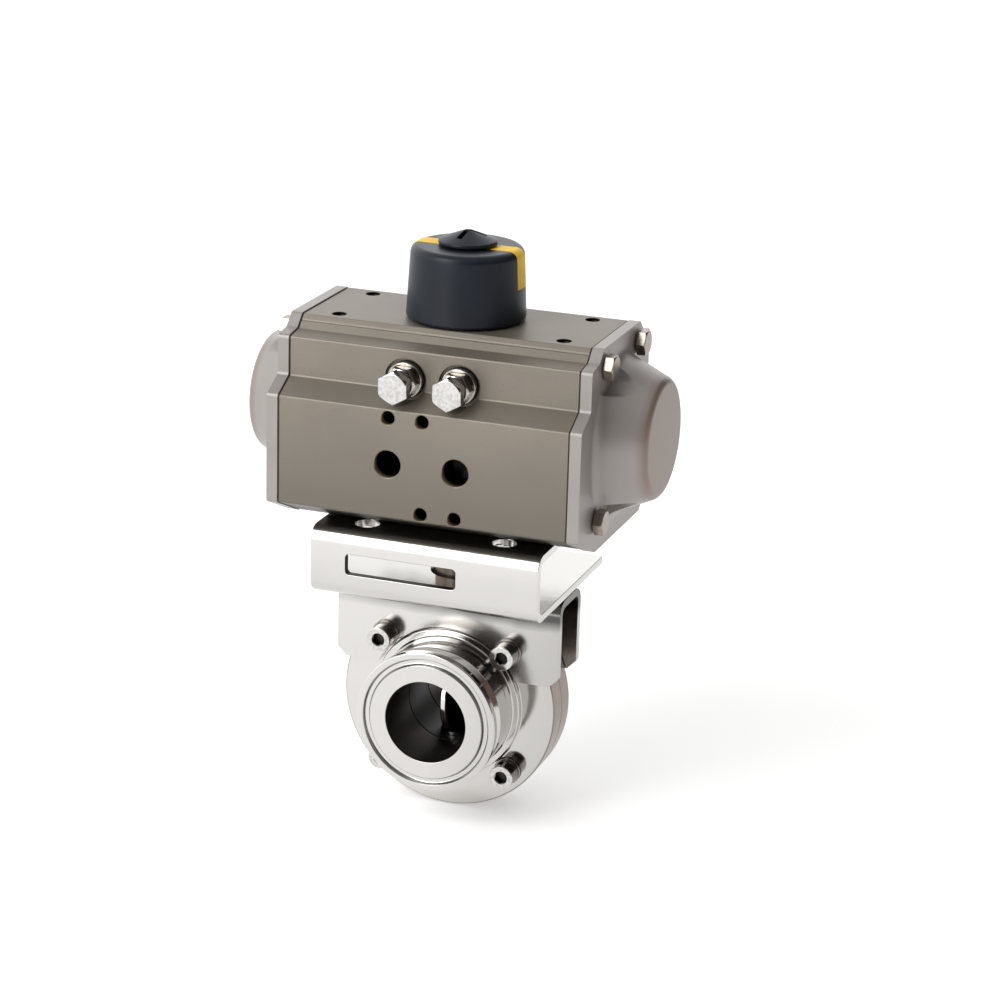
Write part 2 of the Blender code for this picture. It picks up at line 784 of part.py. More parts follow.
# Bracket


def bent_outline(corners, sheet, bend_r):
    """Outline of a bent sheet from the path of its outer face, with round bends."""
    radii = [0] + [bend_r] * (len(corners) - 2) + [0]
    outer = open_rounded(corners, radii)
    inner_path = offset_path(corners, sheet)
    inner_radii = [max(r - sheet, 0.0002) if r else 0 for r in radii]
    inner = open_rounded(inner_path, inner_radii)
    return outer + inner[::-1]


def offset_path(points, distance):
    """Shift an open path to its left-hand side by a distance."""
    result = []
    for i, corner in enumerate(points):
        here = Vector(corner)
        ahead = (Vector(points[min(i + 1, len(points) - 1)]) - Vector(points[min(i, len(points) - 2)]))
        back = (Vector(points[max(i, 1)]) - Vector(points[max(i - 1, 0)]))
        left_ahead = Vector((-ahead.y, ahead.x)).normalized()
        left_back = Vector((-back.y, back.x)).normalized()
        middle = (left_ahead + left_back).normalized()
        result.append(tuple(here + middle * (distance / middle.dot(left_ahead))))
    return result


def open_rounded(points, radii):
    """Round the inner corners of an open path."""
    result = [points[0]]
    for i in range(1, len(points) - 1):
        triple = rounded(points[i - 1:i + 2], [0, radii[i], 0], steps=4)
        result.extend(triple[1:-1])
    result.append(points[-1])
    return result


def frame_channel():
    """Sheet channel that lifts the actuator: top, front wall with its window, and bottom."""
    path = [(FRAME_REAR, FRAME_TOP_Z), (-FRAME_FRONT, FRAME_TOP_Z),
            (-FRAME_FRONT, FRAME_BOTTOM_Z), (FRAME_REAR, FRAME_BOTTOM_Z)]
    outline = bent_outline(path, FRAME_SHEET, FRAME_BEND_R)
    made = to_object("bracket_frame", prism(outline, -FRAME_HALF_W, FRAME_HALF_W, "X"),
                     "bright_steel")
    sill = FRAME_BOTTOM_Z + WINDOW_SILL
    right = WINDOW_LEFT + WINDOW_W
    window = rounded([(WINDOW_LEFT, sill), (right, sill), (right, sill + WINDOW_H),
                      (WINDOW_LEFT, sill + WINDOW_H)], WINDOW_CORNER, steps=2)
    cut(made, prism(window, -FRAME_FRONT - FRAME_SHEET, -FRAME_FRONT + 2 * FRAME_SHEET, "Y"))
    low, high = FRAME_TOP_Z - 2 * FRAME_SHEET, FRAME_TOP_Z + FRAME_SHEET
    bolt_r = FOOT_BOLT_R + HOLE_ROOM
    top = [rod(bolt_r, low, high, "Z", (a * FOOT_BOLT_HALF, b * FOOT_BOLT_HALF), SMALL)
           for a, b in signs()]
    top += [rod(SPARE_HOLE_R, low, high, "Z", (a * SPARE_HOLE_HALF, b * SPARE_HOLE_HALF), SMALL)
            for a, b in signs()]
    top.append(rod(LOWER_JOURNAL_R, low, high, steps=COARSE))
    bottom = rod(SHAFT_HOLE_R, FRAME_BOTTOM_Z - FRAME_SHEET, FRAME_BOTTOM_Z + 2 * FRAME_SHEET)
    return [cut(made, merged(top + [bottom]))]


def saddle():
    """Inverted channel whose two legs are clamped by the upper body screws."""
    leg_z = SCREW_HALF - SADDLE_LEG_BELOW_SCREW
    path = [(LEG_OUTER_Y, leg_z), (LEG_OUTER_Y, WEB_TOP_Z),
            (-LEG_OUTER_Y, WEB_TOP_Z), (-LEG_OUTER_Y, leg_z)]
    outline = bent_outline(path, SADDLE_SHEET, SADDLE_BEND_R)
    made = to_object("bracket_saddle", prism(outline, -SADDLE_HALF_W, SADDLE_HALF_W, "X"),
                     "bright_steel")
    over = LEG_OUTER_Y + SADDLE_SHEET
    notch_r = STEP_R + NOTCH_ROOM
    notch = rod(notch_r, -over, over, "Y", steps=FINE)
    hole_r = BODY_SCREW_R + HOLE_ROOM
    holes = [rod(hole_r, -over, over, "Y", (a * SCREW_HALF, SCREW_HALF), SMALL) for a in (-1, 1)]
    corners = []
    for side in (-1, 1):
        tip = side * (SADDLE_HALF_W + SADDLE_SHEET)
        inner = side * (SADDLE_HALF_W - SADDLE_CORNER)
        drop = leg_z - SADDLE_SHEET
        rise = leg_z + SADDLE_CORNER + SADDLE_SHEET
        corners.append(prism([(inner - side * SADDLE_SHEET, drop), (tip, drop), (tip, rise)],
                             -over, over, "Y"))
    shaft = rod(SHAFT_HOLE_R, WEB_BOTTOM_Z - SADDLE_SHEET, WEB_TOP_Z + SADDLE_SHEET)
    return [cut(made, notch, merged(holes + corners), shaft)]


def hex_bolt(name, axis, flats, head_h, shank_r, shank_l, turn=math.pi / 6):
    """Hexagon head bolt whose head lies below 0 on its axis and whose shank runs above it."""
    made = to_object(name, prism(polygon(flats, 6, turn=turn), -head_h, 0, axis),
                     "bright_steel")
    return fuse(made, rod(shank_r, -head_h / 2, shank_l, axis, steps=SMALL))


def foot_bolts():
    """Flange bolts from below the frame's top sheet into the actuator's foot."""
    under = FRAME_TOP_Z - FRAME_SHEET - SEAT
    length = FOOT_Z - under + FOOT_BOLT_DEPTH
    bolt = hex_bolt("foot_bolt", "Z", FOOT_BOLT_FLATS, FOOT_BOLT_HEAD_H, FOOT_BOLT_R, length)
    fuse(bolt, rod(FOOT_BOLT_COLLAR_R, -FOOT_BOLT_COLLAR_T, 0, steps=COARSE))
    half = FOOT_BOLT_HALF
    return twins(bolt, "foot_bolt", {
        "front_left": ((-half, -half, under), 0.0), "front_right": ((half, -half, under), 0.0),
        "rear_left": ((-half, half, under), 0.0), "rear_right": ((half, half, under), 0.0)})


def coupling():
    """Round adaptor: square tenon up into the pinion, square socket down over the stem."""
    bottom = FLANGE_R + SEAT * 2
    top = FOOT_Z - SEAT
    made = to_object("stem_coupling", turned([
        (0, bottom), (COUPLING_R - RIM_CHAMFER, bottom), (COUPLING_R, bottom + RIM_CHAMFER),
        (COUPLING_R, top - RIM_CHAMFER), (COUPLING_R - RIM_CHAMFER, top), (0, top)],
        steps=COARSE), "satin_steel")
    tenon = DRIVE_SQUARE - 2 * HOLE_ROOM
    fuse(made, prism(polygon(tenon, 4), top - FRAME_SHEET, top + DRIVE_SQUARE_H))
    socket = stem_square() + 2 * HOLE_ROOM
    depth = STEM_TANG_H + SEAT * 2
    return [cut(made, prism(polygon(socket, 4), bottom - SEAT, bottom + depth))]


# Actuator housing, measured from the axis of the cylinder bore


def body_outline():
    """Cross-section of the extruded body, y then z, anticlockwise from the top rear corner."""
    shoulder_y = TOP_HALF_W + TOP_CHAMFER
    shoulder_z = BODY_ABOVE - TOP_CHAMFER
    ledge_z = shoulder_z - SHOULDER_DROP
    return [
        (TOP_HALF_W, BODY_ABOVE),
        (-TOP_HALF_W, BODY_ABOVE),
        (-shoulder_y, shoulder_z),
        (-WALL_Y, ledge_z),
        (-WALL_Y, PAD_TOP_Z + PAD_SLOPE),
        (-PAD_Y, PAD_TOP_Z),
        (-PAD_Y, PAD_BOTTOM_Z),
        (-FOOT_FRONT_Y, -BODY_BELOW),
        (WALL_Y - FOOT_EDGE, -BODY_BELOW),
        (WALL_Y, FOOT_EDGE - BODY_BELOW),
        (WALL_Y, ledge_z),
        (shoulder_y, shoulder_z),
    ]


def cap_screw_places():
    """Centres of the four screws of an end cap, y then z."""
    return [(side * y, z) for y, z in CAP_SCREWS for side in (-1, 1)]


def air_ports():
    """Two air ports: the left one opens into the middle of the bore, the right one feeds the ends."""
    left = rod(PORT_R, -PAD_Y - SEAT, -CYLINDER_R / 2, "Y", (-PORT_HALF_X, PORT_Z))
    right = rod(PORT_R, -PAD_Y - SEAT, -PAD_Y + PORT_DEPTH, "Y", (PORT_HALF_X, PORT_Z))
    return merged([left, right])


def air_channel_place():
    """Centre of the long air channel, y then z."""
    return -PAD_Y + PORT_DEPTH / 2, PORT_Z - AIR_CHANNEL_BELOW_PORT


def pad_screw_holes():
    """Tapped holes of the solenoid valve pad, skewed as the interface asks."""
    places = [(-PORT_HALF_X, 1), (0, 1), (0, -1), (PORT_HALF_X, -1)]
    return merged([rod(PORT_SCREW_R, -PAD_Y - SEAT, -PAD_Y + PORT_SCREW_DEPTH, "Y",
                       (x, PORT_Z + side * PORT_SCREW_DZ), SMALL) for x, side in places])


def actuator_body():
    """Extruded body with its bores, ports, tapped holes and the relief under the indicator."""
    outline = rounded(body_outline(), BODY_CORNER_R, steps=1)
    made = to_object("actuator_body", prism(outline, -BODY_HALF_L, BODY_HALF_L, "X"),
                     "anodised_body")
    beyond = BODY_HALF_L + CAP_FLANGE_T
    cut(made, rod(CYLINDER_R, -beyond, beyond, "X", steps=FINE))
    cut(made, shaft_bore())
    cut(made, ring(TOP_WASHER_R + HOLE_ROOM, INDICATOR_BASE_R + HOLE_ROOM * 2,
                   BODY_ABOVE - TOP_RELIEF, BODY_ABOVE + SEAT, steps=FINE))
    stops = [rod(STOP_R + HOLE_ROOM, -PAD_Y - STOP_R, -STOP_TIP_Y, "Y", (a * STOP_X, STOP_Z), SMALL)
             for a in (-1, 1)]
    spots = [rod(STOP_SPOT_R, -PAD_Y - STOP_R, -STOP_FACE_Y, "Y", (a * STOP_X, STOP_Z))
             for a in (-1, 1)]
    for spot, stop in zip(spots, stops):
        cut(made, spot, stop)
    channel_y, channel_z = air_channel_place()
    cut(made, air_ports())
    cut(made, rod(AIR_CHANNEL_R, -beyond, beyond, "X", (channel_y, channel_z), SMALL))
    cut(made, rod(AIR_CHANNEL_R, channel_z, PORT_Z, "Z", (PORT_HALF_X, channel_y), SMALL))
    cut(made, pad_screw_holes(), tapped_holes())
    return [made]


def shaft_bore():
    """Bore for the pinion: bush seat and seal land below, thrust face and bush seat above."""
    bottom = -BODY_BELOW
    bush_end = bottom + LOWER_BUSH_H + SEAT * 2
    land_r = LOWER_JOURNAL_R + RUNNING
    inside = CYLINDER_R / 2
    lower = turned([
        (0, bottom - SEAT), (LOWER_BUSH_R + SEAT, bottom - SEAT), (LOWER_BUSH_R + SEAT, bush_end),
        (land_r, bush_end), (land_r, -inside), (0, -inside)], steps=MEDIUM)
    bush_top = BODY_ABOVE - UPPER_BUSH_TOP
    upper = turned([
        (0, inside), (UPPER_FLANGE_R + SEAT, inside), (UPPER_FLANGE_R + SEAT, CYLINDER_R),
        (UPPER_BUSH_R + SEAT, CYLINDER_R), (UPPER_BUSH_R + SEAT, bush_top),
        (UPPER_JOURNAL_R + RUNNING, bush_top), (UPPER_JOURNAL_R + RUNNING, BODY_ABOVE + SEAT),
        (0, BODY_ABOVE + SEAT)], steps=MEDIUM)
    return merged([lower, upper])


def tapped_holes():
    """Accessory holes on top, bolt holes in the foot and cap screw holes in both ends."""
    top = BODY_ABOVE + SEAT
    foot = -BODY_BELOW - SEAT
    holes = [rod(TOP_HOLE_R, BODY_ABOVE - TOP_HOLE_DEPTH, top, "Z",
                 (a * TOP_HOLE_HALF_X, b * TOP_HOLE_HALF_Y), SMALL) for a, b in signs()]
    holes += [rod(FOOT_BOLT_R + HOLE_ROOM, foot, -BODY_BELOW + FOOT_BOLT_DEPTH + SEAT * 2, "Z",
                  (a * FOOT_BOLT_HALF, b * FOOT_BOLT_HALF), SMALL) for a, b in signs()]
    deep = BODY_HALF_L - CAP_SCREW_DEPTH - SEAT * 2
    for place in cap_screw_places():
        for side in (-1, 1):
            ends = sorted((side * deep, side * (BODY_HALF_L + SEAT)))
            holes.append(rod(CAP_SCREW_R + HOLE_ROOM, *ends, "X", place, SMALL))
    return merged(holes)


def cap_gasket():
    """Flat gasket between body and end cap."""
    outline = rounded(grown(body_outline(), -SEAT), BODY_CORNER_R, steps=1)
    start, end = GASKET_X, GASKET_X + GASKET_T
    made = to_object("cap_gasket_right", prism(outline, start, end, "X"), "black_rubber")
    low, high = start - GASKET_T, end + GASKET_T
    holes = [rod(CAP_SCREW_R + HOLE_ROOM, low, high, "X", place, SMALL)
             for place in cap_screw_places()]
    holes.append(rod(AIR_CHANNEL_R, low, high, "X", air_channel_place(), SMALL))
    holes.append(rod(CYLINDER_R + SEAT, low, high, "X", steps=MEDIUM))
    return cut(made, merged(holes))


def cap_cone():
    """Tapered dome of the end cap, (radius, x)."""
    base = CAP_X + CAP_FLANGE_T
    slope = (CAP_CONE_R - CAP_FACE_R) / CAP_CONE_H
    edge_x = CAP_FACE_X - CAP_EDGE_R
    return turned([
        (0, base - CAP_FLANGE_T / 2), (CAP_CONE_R, base - CAP_FLANGE_T / 2), (CAP_CONE_R, base),
        (CAP_FACE_R + slope * CAP_EDGE_R, edge_x),
        (CAP_FACE_R - CAP_EDGE_R * 0.25, CAP_FACE_X - CAP_EDGE_R * 0.3),
        (CAP_FACE_R - CAP_EDGE_R, CAP_FACE_X), (0, CAP_FACE_X)], "X", steps=FINE)


def end_cap():
    """Right end cap: flange in the body's outline, hollow cone, screw pockets and air slot."""
    outline = rounded(grown(body_outline(), SEAT), CAP_CORNER_R, steps=2)
    flange_end = CAP_X + CAP_FLANGE_T
    made = to_object("end_cap_right", prism(outline, CAP_X, flange_end, "X"), "cast_cap")
    fuse(made, cap_cone())
    slope = (CAP_CONE_R - CAP_FACE_R) / CAP_CONE_H
    hollow_r = CAP_FACE_R + (slope - 1) * CAP_WALL
    hollow = rod(hollow_r, CAP_X - SEAT, CAP_FACE_X - CAP_WALL, "X", steps=MEDIUM)
    cut(made, hollow)
    beyond = CAP_FACE_X + CAP_WALL
    for side in (-1, 1):
        upper = (side * CAP_SCREWS[0][0], CAP_SCREWS[0][1])
        cut(made, rod(CAP_POCKET_R, flange_end, beyond, "X", upper, COARSE))
        cut(made, low_pocket(side, flange_end, beyond))
    places = [rod(CAP_SCREW_R + HOLE_ROOM, CAP_X - SEAT, flange_end + SEAT, "X", place, SMALL)
              for place in cap_screw_places()]
    channel_y, channel_z = air_channel_place()
    slot = block((CAP_X - SEAT, channel_y - AIR_SLOT_W / 2, channel_z - AIR_SLOT_W / 2),
                 (CAP_X + AIR_SLOT_DEPTH, -CYLINDER_R / 2, channel_z + AIR_SLOT_W / 2))
    return cut(made, merged(places), slot)


def low_pocket(side, start, end):
    """Square pocket under the cone that clears a lower cap screw."""
    ceiling = CAP_SCREWS[1][1] + CAP_LOW_POCKET_ABOVE_SCREW
    floor = -BODY_BELOW - CAP_FLANGE_T
    inner = side * CAP_LOW_POCKET_INNER_Y
    outer = side * (PAD_Y + CAP_FLANGE_T)
    points = [(inner, floor), (outer, floor), (outer, ceiling), (inner, ceiling)]
    if side < 0:
        points.reverse()
    return prism(points, start, end, "X")


def cap_screws():
    """Four hexagon screws at each end."""
    under = CAP_X + CAP_FLANGE_T + SEAT
    length = under - BODY_HALF_L + CAP_SCREW_DEPTH
    bolt = hex_bolt("cap_screw", "X", CAP_SCREW_FLATS, CAP_SCREW_HEAD_H, CAP_SCREW_R, length)
    levels = {"top": CAP_SCREWS[0], "bottom": CAP_SCREWS[1]}
    places = {}
    for end, end_side, turn in (("left", -1, 0.0), ("right", 1, math.pi)):
        for level, (y, z) in levels.items():
            for face, face_side in (("front", -1), ("rear", 1)):
                label = end + "_" + level + "_" + face
                places[label] = ((end_side * under, face_side * y, z), turn)
    return twins(bolt, "cap_screw", places)


def both_ends(right):
    """A right-hand piece and its mirror image at the left end."""
    left = copied(right, right.name.replace("right", "left"), MIRROR_X)
    return [left, right]


def stop_parts():
    """The two stop screws, each with its locknut, washer and sealing ring."""
    seal_y = -STOP_FACE_Y - SEAT
    washer_y = seal_y - STOP_SEAL_T - SEAT
    nut_y = washer_y - STOP_WASHER_T - SEAT
    under_y = nut_y - STOP_NUT_H - STOP_THREAD_SHOWN
    hole = STOP_R + HOLE_ROOM
    reach = -STOP_TIP_Y - under_y
    screw = hex_bolt("stop", "Y", STOP_NUT_FLATS, STOP_HEAD_H, STOP_R, reach, turn=0.0)
    nut = to_object("nut", prism(
        polygon(STOP_NUT_FLATS, 6, turn=math.pi / 6), -STOP_NUT_H, 0, "Y"), "bright_steel")
    cut(nut, rod(hole, -STOP_NUT_H - SEAT, SEAT, "Y", steps=SMALL))
    washer = to_object("washer", ring(hole, STOP_WASHER_R, -STOP_WASHER_T, 0, "Y"), "bright_steel")
    seal = to_object("seal", ring(hole, STOP_SEAL_R, -STOP_SEAL_T, 0, "Y"), "black_rubber")
    made = []
    for source, stem, y in ((screw, "stop_screw", under_y), (nut, "stop_nut", nut_y),
                            (washer, "stop_washer", washer_y), (seal, "stop_seal", seal_y)):
        made += twins(source, stem, {"left": ((-STOP_X, y, STOP_Z), 0.0),
                                     "right": ((STOP_X, y, STOP_Z), 0.0)})
    return made


def bearings():
    """Bushes, washer and seals that carry the pinion in the body."""
    start = -BODY_BELOW + SEAT
    lower = ring(LOWER_JOURNAL_R + RUNNING, LOWER_BUSH_R, start, start + LOWER_BUSH_H, steps=MEDIUM)
    inner = UPPER_JOURNAL_R + RUNNING
    flange_z = CAM_TOP_Z + SEAT
    bush_top = BODY_ABOVE - UPPER_BUSH_TOP - SEAT
    upper = turned([
        (inner, flange_z), (UPPER_FLANGE_R, flange_z), (UPPER_FLANGE_R, CYLINDER_R - SEAT),
        (UPPER_BUSH_R, CYLINDER_R - SEAT), (UPPER_BUSH_R, bush_top), (inner, bush_top)],
        steps=MEDIUM)
    washer_z = BODY_ABOVE + SEAT
    washer = ring(inner, TOP_WASHER_R, washer_z, washer_z + TOP_WASHER_T, steps=MEDIUM)
    return [to_object("pinion_bush_bottom", lower, "white_acetal"),
            to_object("pinion_bush_top", upper, "white_acetal"),
            to_object("pinion_washer", washer, "white_acetal")]


# Moving pieces of the actuator


def pinion_outline():
    """Involute teeth, with a gap facing each rack."""
    base_r = PITCH_R * math.cos(PRESSURE_ANGLE)
    pitch_angle = math.tau / TEETH
    half_tooth = (pitch_angle - BACKLASH / PITCH_R) / 4
    involute = math.tan(PRESSURE_ANGLE) - PRESSURE_ANGLE
    flank = []
    for radius in (base_r, PITCH_R, PINION_TIP_R):
        lean = math.acos(min(1.0, base_r / radius))
        flank.append((radius, half_tooth + involute - (math.tan(lean) - lean)))
    flank[0] = (PINION_ROOT_R, flank[0][1])
    points = []
    for tooth in range(TEETH):
        middle = (tooth + 0.5) * pitch_angle - math.pi / 2
        sides = [(radius, -half) for radius, half in flank]
        sides += [(radius, half) for radius, half in reversed(flank)]
        points += [(r * math.cos(middle + a), r * math.sin(middle + a)) for r, a in sides]
    return points


def double_flat(radius, flat):
    """Round outline with two flats facing front and rear."""
    side = math.asin(flat / radius)
    arc = [side * (2 * i / 5 - 1) for i in range(6)]
    right = [(radius * math.cos(a), radius * math.sin(a)) for a in arc]
    left = [(-x, -y) for x, y in right]
    return right + left


def pinion():
    """Output shaft: square drive, lower journal, teeth, cam seat, upper journal and tang."""
    bottom = -BODY_BELOW + SEAT
    seal_r = LOWER_JOURNAL_R - 2 * SHAFT_SEAL_R
    seal_low = bottom + SHAFT_SEAL_LIFT - SHAFT_SEAL_R - SEAT
    seal_high = seal_low + 2 * (SHAFT_SEAL_R + SEAT)
    journal_end = bottom + LOWER_JOURNAL_H
    lower = turned([
        (0, bottom), (LOWER_JOURNAL_R, bottom), (LOWER_JOURNAL_R, seal_low), (seal_r, seal_low),
        (seal_r, seal_high), (LOWER_JOURNAL_R, seal_high), (LOWER_JOURNAL_R, journal_end),
        (NECK_BELOW_TEETH_R, journal_end), (NECK_BELOW_TEETH_R, PINION_HALF_FACE / 2),
        (0, PINION_HALF_FACE / 2)], steps=MEDIUM)
    made = to_object("pinion", lower, "satin_steel")
    fuse(made, prism(pinion_outline(), -PINION_HALF_FACE, PINION_HALF_FACE))
    shoulder_r = PINION_ROOT_R + PINION_ADDENDUM
    above_rack = (PINION_HALF_FACE + RACK_HALF_FACE) / 2
    fuse(made, rod(shoulder_r, above_rack, CAM_Z - SEAT, steps=MEDIUM))
    fuse(made, prism(double_flat(CAM_SEAT_R, CAM_FLAT), PINION_HALF_FACE, CAM_TOP_Z - SEAT))
    fuse(made, upper_shaft())
    square = prism(polygon(DRIVE_SQUARE, 4), bottom - SEAT, bottom + DRIVE_SQUARE_H + 3 * SEAT)
    slot = block((-TANG_R * 2, -TANG_SLOT_W / 2, TANG_TOP_Z - TANG_SLOT_DEPTH),
                 (TANG_R * 2, TANG_SLOT_W / 2, TANG_TOP_Z + SEAT))
    hole = rod(TANG_HOLE_R, TANG_TOP_Z - TANG_HOLE_DEPTH, TANG_TOP_Z + SEAT, steps=SMALL)
    return cut(made, square, tang_flats(), slot, hole)


def upper_shaft():
    """Upper journal with its seal groove, snap ring groove and indicator tang."""
    seal_z = shaft_seal_top_z()
    seal_r = UPPER_JOURNAL_R - 2 * SHAFT_SEAL_R
    seal_low, seal_high = seal_z - SHAFT_SEAL_R - SEAT, seal_z + SHAFT_SEAL_R + SEAT
    snap_low = snap_ring_z() - SEAT
    snap_high = snap_low + SNAP_RING_T + 2 * SEAT
    snap_r = UPPER_JOURNAL_R - SNAP_RING_GROOVE
    journal_end = snap_high + SNAP_RING_T
    return turned([
        (0, PINION_HALF_FACE), (UPPER_JOURNAL_R, PINION_HALF_FACE), (UPPER_JOURNAL_R, seal_low),
        (seal_r, seal_low), (seal_r, seal_high), (UPPER_JOURNAL_R, seal_high),
        (UPPER_JOURNAL_R, snap_low), (snap_r, snap_low), (snap_r, snap_high),
        (UPPER_JOURNAL_R, snap_high), (UPPER_JOURNAL_R, journal_end), (TANG_R, journal_end),
        (TANG_R, TANG_TOP_Z - RIM_CHAMFER), (TANG_R - RIM_CHAMFER, TANG_TOP_Z), (0, TANG_TOP_Z)],
        steps=MEDIUM)


def tang_flats():
    """Two flats on the tang, for the indicator and a spanner."""
    low = BODY_ABOVE + TANG_H / 2
    high = TANG_TOP_Z + TANG_R
    reach = TANG_R * 2
    front = block((-reach, -reach, low), (reach, -TANG_FLATS_HALF, high))
    rear = block((-reach, TANG_FLATS_HALF, low), (reach, reach, high))
    return merged([front, rear])


def shaft_seal_top_z():
    """Height of the upper shaft seal, in the middle of the narrow land."""
    return BODY_ABOVE - UPPER_BUSH_TOP / 2


def snap_ring_z():
    """Underside of the snap ring, above the washer."""
    return BODY_ABOVE + TOP_WASHER_T + 2 * SEAT


def shaft_seals():
    """Sealing rings that turn with the pinion."""
    low_z = -BODY_BELOW + SEAT + SHAFT_SEAL_LIFT
    low = round_ring(LOWER_JOURNAL_R - SHAFT_SEAL_R + SEAT / 4, SHAFT_SEAL_R - SEAT / 4, low_z,
                     steps=MEDIUM, sides=6)
    top = round_ring(UPPER_JOURNAL_R - SHAFT_SEAL_R + SEAT / 4, SHAFT_SEAL_R - SEAT / 4,
                     shaft_seal_top_z(), steps=MEDIUM, sides=6)
    return [to_object("shaft_seal_bottom", low, "black_rubber"),
            to_object("shaft_seal_top", top, "black_rubber")]


def snap_ring():
    """Open ring that holds the pinion down on its washer."""
    z = snap_ring_z()
    inner = UPPER_JOURNAL_R - SNAP_RING_GROOVE + SEAT
    made = to_object("snap_ring", ring(inner, SNAP_RING_R, z, z + SNAP_RING_T, steps=MEDIUM),
                     "bright_steel")
    half = SNAP_RING_OPENING / 2
    return cut(made, block((-half, 0, z - SEAT), (half, 2 * SNAP_RING_R, z + SNAP_RING_T + SEAT)))


def stop_cam():
    """Cam with one lobe for each stop screw; the lobes stand a quarter turn out of line."""
    top = CAM_TOP_Z
    made = to_object("stop_cam", rod(CAM_HUB_R, CAM_Z, top, steps=MEDIUM), "satin_steel")
    face = STOP_TIP_Y - SEAT
    reach = STOP_X + CAM_LOBE_MARGIN
    open_lobe = block((-reach, -face, CAM_Z), (-STOP_X / 2, -face / 4, top))
    closed_lobe = block((face / 4, STOP_X / 2, CAM_Z), (face, reach, top))
    fuse(made, open_lobe, closed_lobe)
    hole = double_flat(CAM_SEAT_R + HOLE_ROOM, CAM_FLAT + HOLE_ROOM)
    return cut(made, prism(hole, CAM_Z - SEAT, top + SEAT))


def rack_outline():
    """Rack bar seen from above, x then y, with its teeth towards the pinion."""
    pitch = math.pi * MODULE
    tip_y = -PITCH_R + RACK_ADDENDUM
    root_y = -PITCH_R - RACK_DEDENDUM
    half = pitch / 4 - BACKLASH / 2
    slope = math.tan(PRESSURE_ANGLE)
    tip_half = half - RACK_ADDENDUM * slope
    root_half = half + RACK_DEDENDUM * slope
    first = -int((RACK_REACH - root_half) / pitch)
    last = int((STROKE + pitch) / pitch)
    end_x = PISTON_INNER_X + PISTON_T / 4
    points = [(-RACK_REACH, root_y)]
    for tooth in range(first, last + 1):
        x = tooth * pitch
        points += [(x - root_half, root_y), (x - tip_half, tip_y)]
        points += [(x + tip_half, tip_y), (x + root_half, root_y)]
    points += [(end_x, root_y), (end_x, -CYLINDER_R), (-RACK_REACH, -CYLINDER_R)]
    return points


def piston():
    """Right piston: grooved head and the rack that drives the front of the pinion."""
    rack = to_object("rack", prism(rack_outline(), -RACK_HALF_FACE, RACK_HALF_FACE))
    reach = PISTON_OUTER_X
    combine(rack, rod(RACK_BACK_R, -reach, reach, "X", steps=FINE), "INTERSECT")
    made = to_object("piston_right", piston_head(), "bare_aluminium")
    fuse(made, as_shape(rack))
    dish = rod(PISTON_DISH_R, PISTON_OUTER_X - PISTON_DISH_DEPTH, PISTON_OUTER_X + SEAT, "X")
    return cut(made, dish)


def piston_head():
    """Head with a seal groove near its outer face."""
    seal_x = PISTON_OUTER_X - PISTON_SEAL_BACK
    seal_half = PISTON_SEAL_R + SEAT
    seal_r = PISTON_R - 2 * PISTON_SEAL_R - SEAT
    edge = RIM_CHAMFER
    return turned([
        (0, PISTON_INNER_X), (PISTON_R - edge, PISTON_INNER_X), (PISTON_R, PISTON_INNER_X + edge),
        (PISTON_R, seal_x - seal_half), (seal_r, seal_x - seal_half),
        (seal_r, seal_x + seal_half), (PISTON_R, seal_x + seal_half),
        (PISTON_R, PISTON_OUTER_X - edge), (PISTON_R - edge, PISTON_OUTER_X), (0, PISTON_OUTER_X)],
        "X", steps=FINE)


def piston_set():
    """Right-hand piston with its seal, and the left-hand set turned about."""
    seal_x = PISTON_OUTER_X - PISTON_SEAL_BACK
    seal = round_ring(PISTON_R - PISTON_SEAL_R, PISTON_SEAL_R - SEAT / 4, seal_x, "X", sides=6)
    right = [piston(), to_object("piston_seal_right", seal, "black_rubber")]
    left = [twin(item, item.name.replace("right", "left"), (0, 0, 0), math.pi) for item in right]
    return left, right


# Position indicator, turning with the pinion


def indicator_profile(shrink=0.0):
    """Outer side of the indicator from its base to the middle of its top, (radius, z)."""
    base = INDICATOR_Z
    top = INDICATOR_TOP_Z - shrink
    edge = INDICATOR_EDGE_R
    side_r = INDICATOR_TOP_R - shrink
    points = [(INDICATOR_BASE_R - INDICATOR_FOOT_EDGE - shrink, base),
              (INDICATOR_BASE_R - shrink, base + INDICATOR_FOOT_EDGE)]
    for i in range(4):
        angle = QUARTER_TURN * i / 3
        points.append((side_r - edge * (1 - math.cos(angle)), top - edge * (1 - math.sin(angle))))
    return points


def indicator_side_r(z):
    """Radius of the indicator's tapered side at a height."""
    low, high = INDICATOR_Z + INDICATOR_FOOT_EDGE, INDICATOR_TOP_Z - INDICATOR_EDGE_R
    rise = (z - low) / (high - low)
    return INDICATOR_BASE_R + (INDICATOR_TOP_R - INDICATOR_BASE_R) * rise


